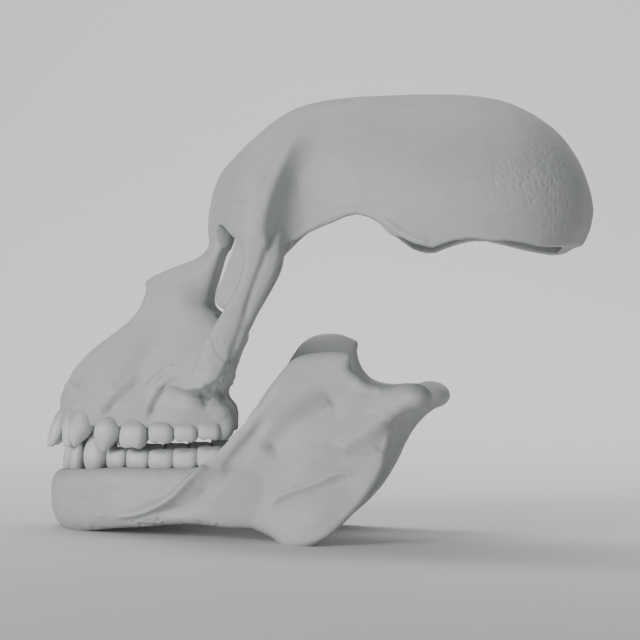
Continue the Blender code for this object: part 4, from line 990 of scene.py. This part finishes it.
class Finish:
    """A material being put together: each call adds a node and gives back its output."""

    def __init__(self, name, roughness):
        self.material = bpy.data.materials.new(name)
        self.material.use_nodes = True
        self.tree = self.material.node_tree
        self.shader = self.tree.nodes["Principled BSDF"]
        self.shader.inputs["Roughness"].default_value = roughness
        self.place = self.node("ShaderNodeTexCoord").outputs["Object"]

    def node(self, kind, inputs=None, **settings):
        made = self.tree.nodes.new(kind)
        for key, value in settings.items():
            setattr(made, key, value)
        for key, value in (inputs or {}).items():
            if hasattr(value, "is_linked"):
                self.tree.links.new(value, made.inputs[key])
            else:
                made.inputs[key].default_value = value
        return made

    def clouds(self, per_metre, detail=4.0, rough=0.55, bend=0.0):
        """Soft unevenness, from 0 to 1."""
        settings = {"Vector": self.place, "Scale": per_metre, "Detail": detail, "Roughness": rough,
            "Distortion": bend}
        return self.node("ShaderNodeTexNoise", settings).outputs["Fac"]

    def stretched(self, sides, per_metre, detail=3.0):
        """Streaks: clouds drawn out along one way."""
        place = self.node("ShaderNodeMapping", {"Vector": self.place, "Scale": sides}).outputs["Vector"]
        settings = {"Vector": place, "Scale": per_metre, "Detail": detail, "Roughness": 0.6}
        return self.node("ShaderNodeTexNoise", settings).outputs["Fac"]

    def cells(self, per_metre, feature="F1"):
        settings = {"Vector": self.place, "Scale": per_metre}
        return self.node("ShaderNodeTexVoronoi", settings, feature=feature).outputs["Distance"]

    def marks(self, name):
        return self.node("ShaderNodeAttribute", attribute_name=name).outputs["Fac"]

    def between(self, value, low, high, start=0.0, end=1.0):
        settings = {"Value": value, "From Min": low, "From Max": high, "To Min": start, "To Max": end}
        return self.node("ShaderNodeMapRange", settings, interpolation_type="SMOOTHSTEP").outputs["Result"]

    def blend(self, share, first, second, way="MIX"):
        made = self.node("ShaderNodeMix", data_type="RGBA", blend_type=way, clamp_result=True)
        for socket, value in ((0, share), (6, first), (7, second)):
            if hasattr(value, "is_linked"):
                self.tree.links.new(value, made.inputs[socket])
            elif socket:
                made.inputs[socket].default_value = (*value, 1)
            else:
                made.inputs[socket].default_value = value
        return made.outputs[2]

    def times(self, value, by):
        return self.node("ShaderNodeMath", {0: value, 1: by}, operation="MULTIPLY").outputs[0]

    def plus(self, value, other):
        return self.node("ShaderNodeMath", {0: value, 1: other}, operation="ADD").outputs[0]

    def colour(self, value):
        self.tree.links.new(value, self.shader.inputs["Base Color"])

    def roughness(self, value):
        self.tree.links.new(value, self.shader.inputs["Roughness"])

    def bump(self, height, depth):
        """Fine relief, the height times the depth in metres."""
        made = self.node("ShaderNodeBump", {"Height": height, "Distance": depth, "Strength": 1.0})
        self.tree.links.new(made.outputs["Normal"], self.shader.inputs["Normal"])


def bone_finish(name, base, seed):
    """Dry matt bone: soft cloudy greys, finely pitted, with painted shade in its hollows and a painted
    highlight on its crests.
    """
    f = Finish(name, 0.62)
    broad = f.between(f.clouds(26 + seed, 3.0), 0.38, 0.64)
    tone = f.blend(f.times(broad, 0.55), base, SHADE_GREY)
    speck = f.between(f.clouds(240, 5.0, 0.7), 0.52, 0.74)
    tone = f.blend(f.times(speck, 0.30), tone, PALE_GREY)
    streak = f.between(f.stretched((1.0, 1.0, 4.5), 60 + seed), 0.50, 0.72)
    tone = f.blend(f.times(streak, 0.16), tone, SHADE_GREY)
    # painted shade in the hollows and a painted highlight on the crests, from the curvature marks
    tone = f.blend(f.times(f.marks("hollow"), 0.75), tone, PAINTED_SHADE_GREY)
    tone = f.blend(f.times(f.marks("crest_highlight"), 0.45), tone, PALE_GREY)
    f.colour(tone)
    f.roughness(f.between(f.clouds(130, 4.0), 0.3, 0.7, 0.52, 0.70))
    pits = f.between(f.cells(1900), 0.05, 0.34)
    grit = f.plus(f.times(f.clouds(1500, 6.0, 0.65), 0.7), f.times(pits, 0.18))
    f.bump(f.plus(grit, f.times(f.clouds(320, 4.0), 0.8)), 0.00012)
    return f.material


def enamel_finish():
    """Worn enamel: paler, smoother, with fine upright lines and a darker neck."""
    f = Finish("enamel", 0.45)
    tone = f.blend(f.times(f.between(f.clouds(180, 4.0), 0.4, 0.66), 0.4), ENAMEL_GREY, PALE_GREY)
    line = f.between(f.stretched((1.0, 1.0, 0.16), 900), 0.52, 0.7)
    tone = f.blend(f.times(line, 0.14), tone, SHADE_GREY)
    tone = f.blend(f.times(f.marks("neck"), 0.62), tone, NECK_GREY)
    f.colour(tone)
    f.roughness(f.between(f.clouds(300, 3.0), 0.3, 0.7, 0.38, 0.54))
    f.bump(f.plus(f.times(f.stretched((1.0, 1.0, 0.2), 700), 0.6), f.clouds(500, 4.0)), 0.00010)
    return f.material


def floor_finish():
    f = Finish("plain_floor", 0.85)
    f.shader.inputs["Base Color"].default_value = (*FLOOR_GREY, 1)
    return f.material


# Pieces
GRAIN = 0.56
SKULL_TRIANGLES = 330000
JAW_TRIANGLES = 180000
TOOTH_SIDES, TOOTH_CAPS = 40, 8
PARTING_LOW = (-40.0, 99.0)
PARTING_HIGH = (-11.0, 94.6)


def soften_values(obj, values, rounds):
    """Each point's value drawn towards the mean of its neighbours."""
    count = len(obj.data.vertices)
    edges = np.empty(len(obj.data.edges) * 2, np.int32)
    obj.data.edges.foreach_get("vertices", edges)
    a, b = edges.reshape(-1, 2).T
    ways = np.maximum(np.bincount(a, minlength=count) + np.bincount(b, minlength=count), 1)
    for _ in range(rounds):
        total = np.bincount(a, values[b], count) + np.bincount(b, values[a], count)
        values = 0.5 * values + 0.5 * total / ways
    return values


def curvature(obj, rounds):
    """How far each point stands proud of the skin round it, in millimetres: hollows are negative."""
    p = points_of(obj)
    n = normals_of(obj)
    broad = np.stack([soften_values(obj, p[:, k], rounds) for k in range(3)], 1)
    return np.einsum("ij,ij->i", p - broad, n)


def mark(obj, name, values):
    layer = obj.data.attributes.new(name, "FLOAT", "POINT")
    layer.data.foreach_set("value", values.astype(np.float32))


def mark_painted_shade_and_highlight(obj):
    """Keeps on the mesh where the bone is hollow and where it is crested, where its finish paints shade and
    a highlight.
    """
    fine = soften_values(obj, curvature(obj, 6), 2)
    wide = soften_values(obj, curvature(obj, 24), 2)
    # hollow: where painted shade goes; the crest mark: where a painted highlight goes
    hollow = 0.6 * ramp(-fine, 0.03, 0.16) + 0.5 * ramp(-wide, 0.10, 0.55)
    crest_highlight = 0.5 * ramp(fine, 0.04, 0.16) + 0.5 * ramp(wide, 0.12, 0.6)
    mark(obj, "hollow", np.clip(hollow, 0, 1))
    mark(obj, "crest_highlight", np.clip(crest_highlight, 0, 1))


def fewer(obj, triangles):
    obj.data.calc_loop_triangles()
    count = len(obj.data.loop_triangles)
    if count > triangles:
        thin = obj.modifiers.new("fewer", "DECIMATE")
        thin.ratio = triangles / count
        settle(obj)
    return obj


def half_of(body, name, point, way):
    """The part of a body on one side of a plane, closed with a flat cap."""
    piece = body.copy()
    piece.data = body.data.copy()
    bpy.context.scene.collection.objects.link(piece)
    piece.name = piece.data.name = name
    bm = bmesh.new()
    bm.from_mesh(piece.data)
    parted = bmesh.ops.bisect_plane(
        bm, geom=[*bm.verts, *bm.edges, *bm.faces], plane_co=point, plane_no=way, clear_inner=True)
    rim = [item for item in parted["geom_cut"] if isinstance(item, bmesh.types.BMEdge)]
    caps = bmesh.ops.triangle_fill(bm, use_beauty=True, edges=rim, normal=-way)
    for item in caps["geom"]:
        if isinstance(item, bmesh.types.BMFace):
            item.smooth = False
    for edge in rim:
        edge.smooth = False
    bm.to_mesh(piece.data)
    bm.free()
    return piece


def dress(piece, material, slot, *nodes):
    piece.data.materials.clear()
    piece.data.materials.append(material)
    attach(piece, "root")
    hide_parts(*nodes)


def smooth_faces(obj):
    obj.data.polygons.foreach_set("use_smooth", np.ones(len(obj.data.polygons), bool))
    return obj


def loose_bits_gone(obj):
    """Drops every bit that isn't joined to the largest one."""
    count = len(obj.data.vertices)
    edges = np.empty(len(obj.data.edges) * 2, np.int32)
    obj.data.edges.foreach_get("vertices", edges)
    a, b = edges.reshape(-1, 2).T
    label = np.arange(count)
    while True:
        low = np.minimum(label[a], label[b])
        fresh = label.copy()
        np.minimum.at(fresh, a, low)
        np.minimum.at(fresh, b, low)
        fresh = fresh[fresh]
        if (fresh == label).all():
            break
        label = fresh
    main = np.bincount(label).argmax()
    if (label == main).all():
        return obj
    bm = bmesh.new()
    bm.from_mesh(obj.data)
    bm.verts.ensure_lookup_table()
    bmesh.ops.delete(bm, geom=[bm.verts[i] for i in np.nonzero(label != main)[0]], context="VERTS")
    bm.to_mesh(obj.data)
    bm.free()
    return obj


def make_skull(bone):
    body = loose_bits_gone(cranium(GRAIN))
    skull_relief(body)
    # marks where the finish paints shade into hollows and a highlight onto crests
    mark_painted_shade_and_highlight(body)
    smooth_faces(fewer(body, SKULL_TRIANGLES))
    low, high = (Vector((x, 0, z)) * MM for x, z in (PARTING_LOW, PARTING_HIGH))
    along = (high - low).normalized()
    up = Vector((-along.z, 0, along.x))
    above = half_of(body, "braincase_bone", low, up)
    below = half_of(body, "face_bone", low, -up)
    bpy.data.objects.remove(body)
    dress(above, bone, "braincase_bone", "braincase")
    dress(below, bone, "face_bone", "face")


def make_jaw(bone):
    body = loose_bits_gone(mandible(GRAIN))
    jaw_relief(body)
    # marks where the finish paints shade into hollows and a highlight onto crests
    mark_painted_shade_and_highlight(body)
    p = points_of(body)
    p[:, 2] = np.maximum(p[:, 2], 0.0)
    set_points(body, p)
    smooth_faces(fewer(body, JAW_TRIANGLES))
    body.name = body.data.name = "jaw_bone"
    dress(body, bone, "mandible_bone", "mandible")


def make_teeth(enamel, rows, up, row_name, slot, node):
    for tooth in teeth(rows, up, TOOTH_SIDES, TOOTH_CAPS):
        p = points_of(tooth)
        side, neck = p[:, 2] * up, max(row[4] * up for row in rows)
        mark(tooth, "neck", 1 - ramp(side, neck - 0.4, neck + 1.6))
        tooth.name = tooth.data.name = f"{row_name}_{tooth.name}"
        smooth_faces(tooth)
        dress(tooth, enamel, slot, node)


# Stage
FLOOR_SIDE = 6.0
SWEEP_START = 0.6
SWEEP_RADIUS = 1.6
SWEEP_TOP = 3.0
SWEEP_STEPS = 32
VIEW_TARGET = Vector((0.0, 0.0, 0.073))
VIEW_TURN = math.radians(2.5)
VIEW_ROLL = math.radians(1.7)
VIEW_DISTANCE = 0.73
PICTURE_SIDE, MM_A_PIXEL = 640, 0.34
VIEW_WIDTH = PICTURE_SIDE * MM_A_PIXEL * MM
SENSOR = 36.0
# Lamps: name, place, size, power, what it is aimed at
LAMPS = [
    ("key_light", (-0.85, -1.0, 0.34), 0.5, 14.5, VIEW_TARGET),
    ("front_light", (0.15, -1.3, 0.2), 0.8, 3.4, VIEW_TARGET),
    ("backdrop_light", (0.0, 0.5, 1.3), 1.4, 27.0, Vector((0.0, 1.7, 0.4))),
    ("rim_light", (0.3, 0.9, 0.7), 0.6, 0.8, VIEW_TARGET),
]
ROOM_COLOUR = (0.9, 0.92, 0.95, 1)
ROOM_STRENGTH = 0.16


def make_floor():
    """A pale sheet, flat under the skull and curving up far behind it without an edge."""
    run = [(-FLOOR_SIDE / 2, 0.0), (SWEEP_START, 0.0)]
    for k in range(1, SWEEP_STEPS + 1):
        turn = math.pi / 2 * k / SWEEP_STEPS
        run.append((SWEEP_START + SWEEP_RADIUS * math.sin(turn), SWEEP_RADIUS * (1 - math.cos(turn))))
    run.append((SWEEP_START + SWEEP_RADIUS, SWEEP_TOP))
    mesh = bpy.data.meshes.new("plain_floor")
    points = [(x, y, z) for y, z in run for x in (-FLOOR_SIDE / 2, FLOOR_SIDE / 2)]
    faces = [(2 * k, 2 * k + 1, 2 * k + 3, 2 * k + 2) for k in range(len(run) - 1)]
    mesh.from_pydata(points, [], faces)
    floor = smooth_faces(new_object("plain_floor", mesh))
    mesh.materials.append(floor_finish())


def make_lamp(name, place, size, power, aim):
    data = bpy.data.lights.new(name, "AREA")
    data.energy = power
    data.size = size
    lamp = new_object(name, data)
    lamp.location = place
    lamp.rotation_euler = (aim - Vector(place)).to_track_quat("-Z", "Y").to_euler()


def make_lights():
    for lamp in LAMPS:
        make_lamp(*lamp)
    world = bpy.data.worlds.new("room")
    world.use_nodes = True
    world.node_tree.nodes["Background"].inputs["Color"].default_value = ROOM_COLOUR
    world.node_tree.nodes["Background"].inputs["Strength"].default_value = ROOM_STRENGTH
    bpy.context.scene.world = world


def make_camera():
    data = bpy.data.cameras.new("camera")
    data.sensor_width = SENSOR
    data.lens = SENSOR * VIEW_DISTANCE / VIEW_WIDTH
    data.clip_start = 0.01
    camera = new_object("camera", data)
    back = Vector((math.sin(VIEW_TURN), -math.cos(VIEW_TURN), 0))
    level = Vector((math.cos(VIEW_TURN), math.sin(VIEW_TURN), 0))
    right = level * math.cos(VIEW_ROLL) + Vector((0, 0, 1)) * math.sin(VIEW_ROLL)
    turn = Matrix((right, back.cross(right), back)).transposed()
    camera.matrix_world = Matrix.Translation(VIEW_TARGET + back * VIEW_DISTANCE) @ turn.to_4x4()
    bpy.context.scene.camera = camera


def main():
    make_camera()
    make_lights()
    make_floor()
    bone = bone_finish("dry_bone", BONE_GREY, 0)
    jaw_bone = bone_finish("jaw_dry_bone", BONE_GREY, 3)
    enamel = enamel_finish()
    make_skull(bone)
    make_jaw(jaw_bone)
    make_teeth(enamel, UPPER, -1, "upper", "face_bone", "face")
    make_teeth(enamel, LOWER, 1, "lower", "mandible_bone", "mandible")


main()
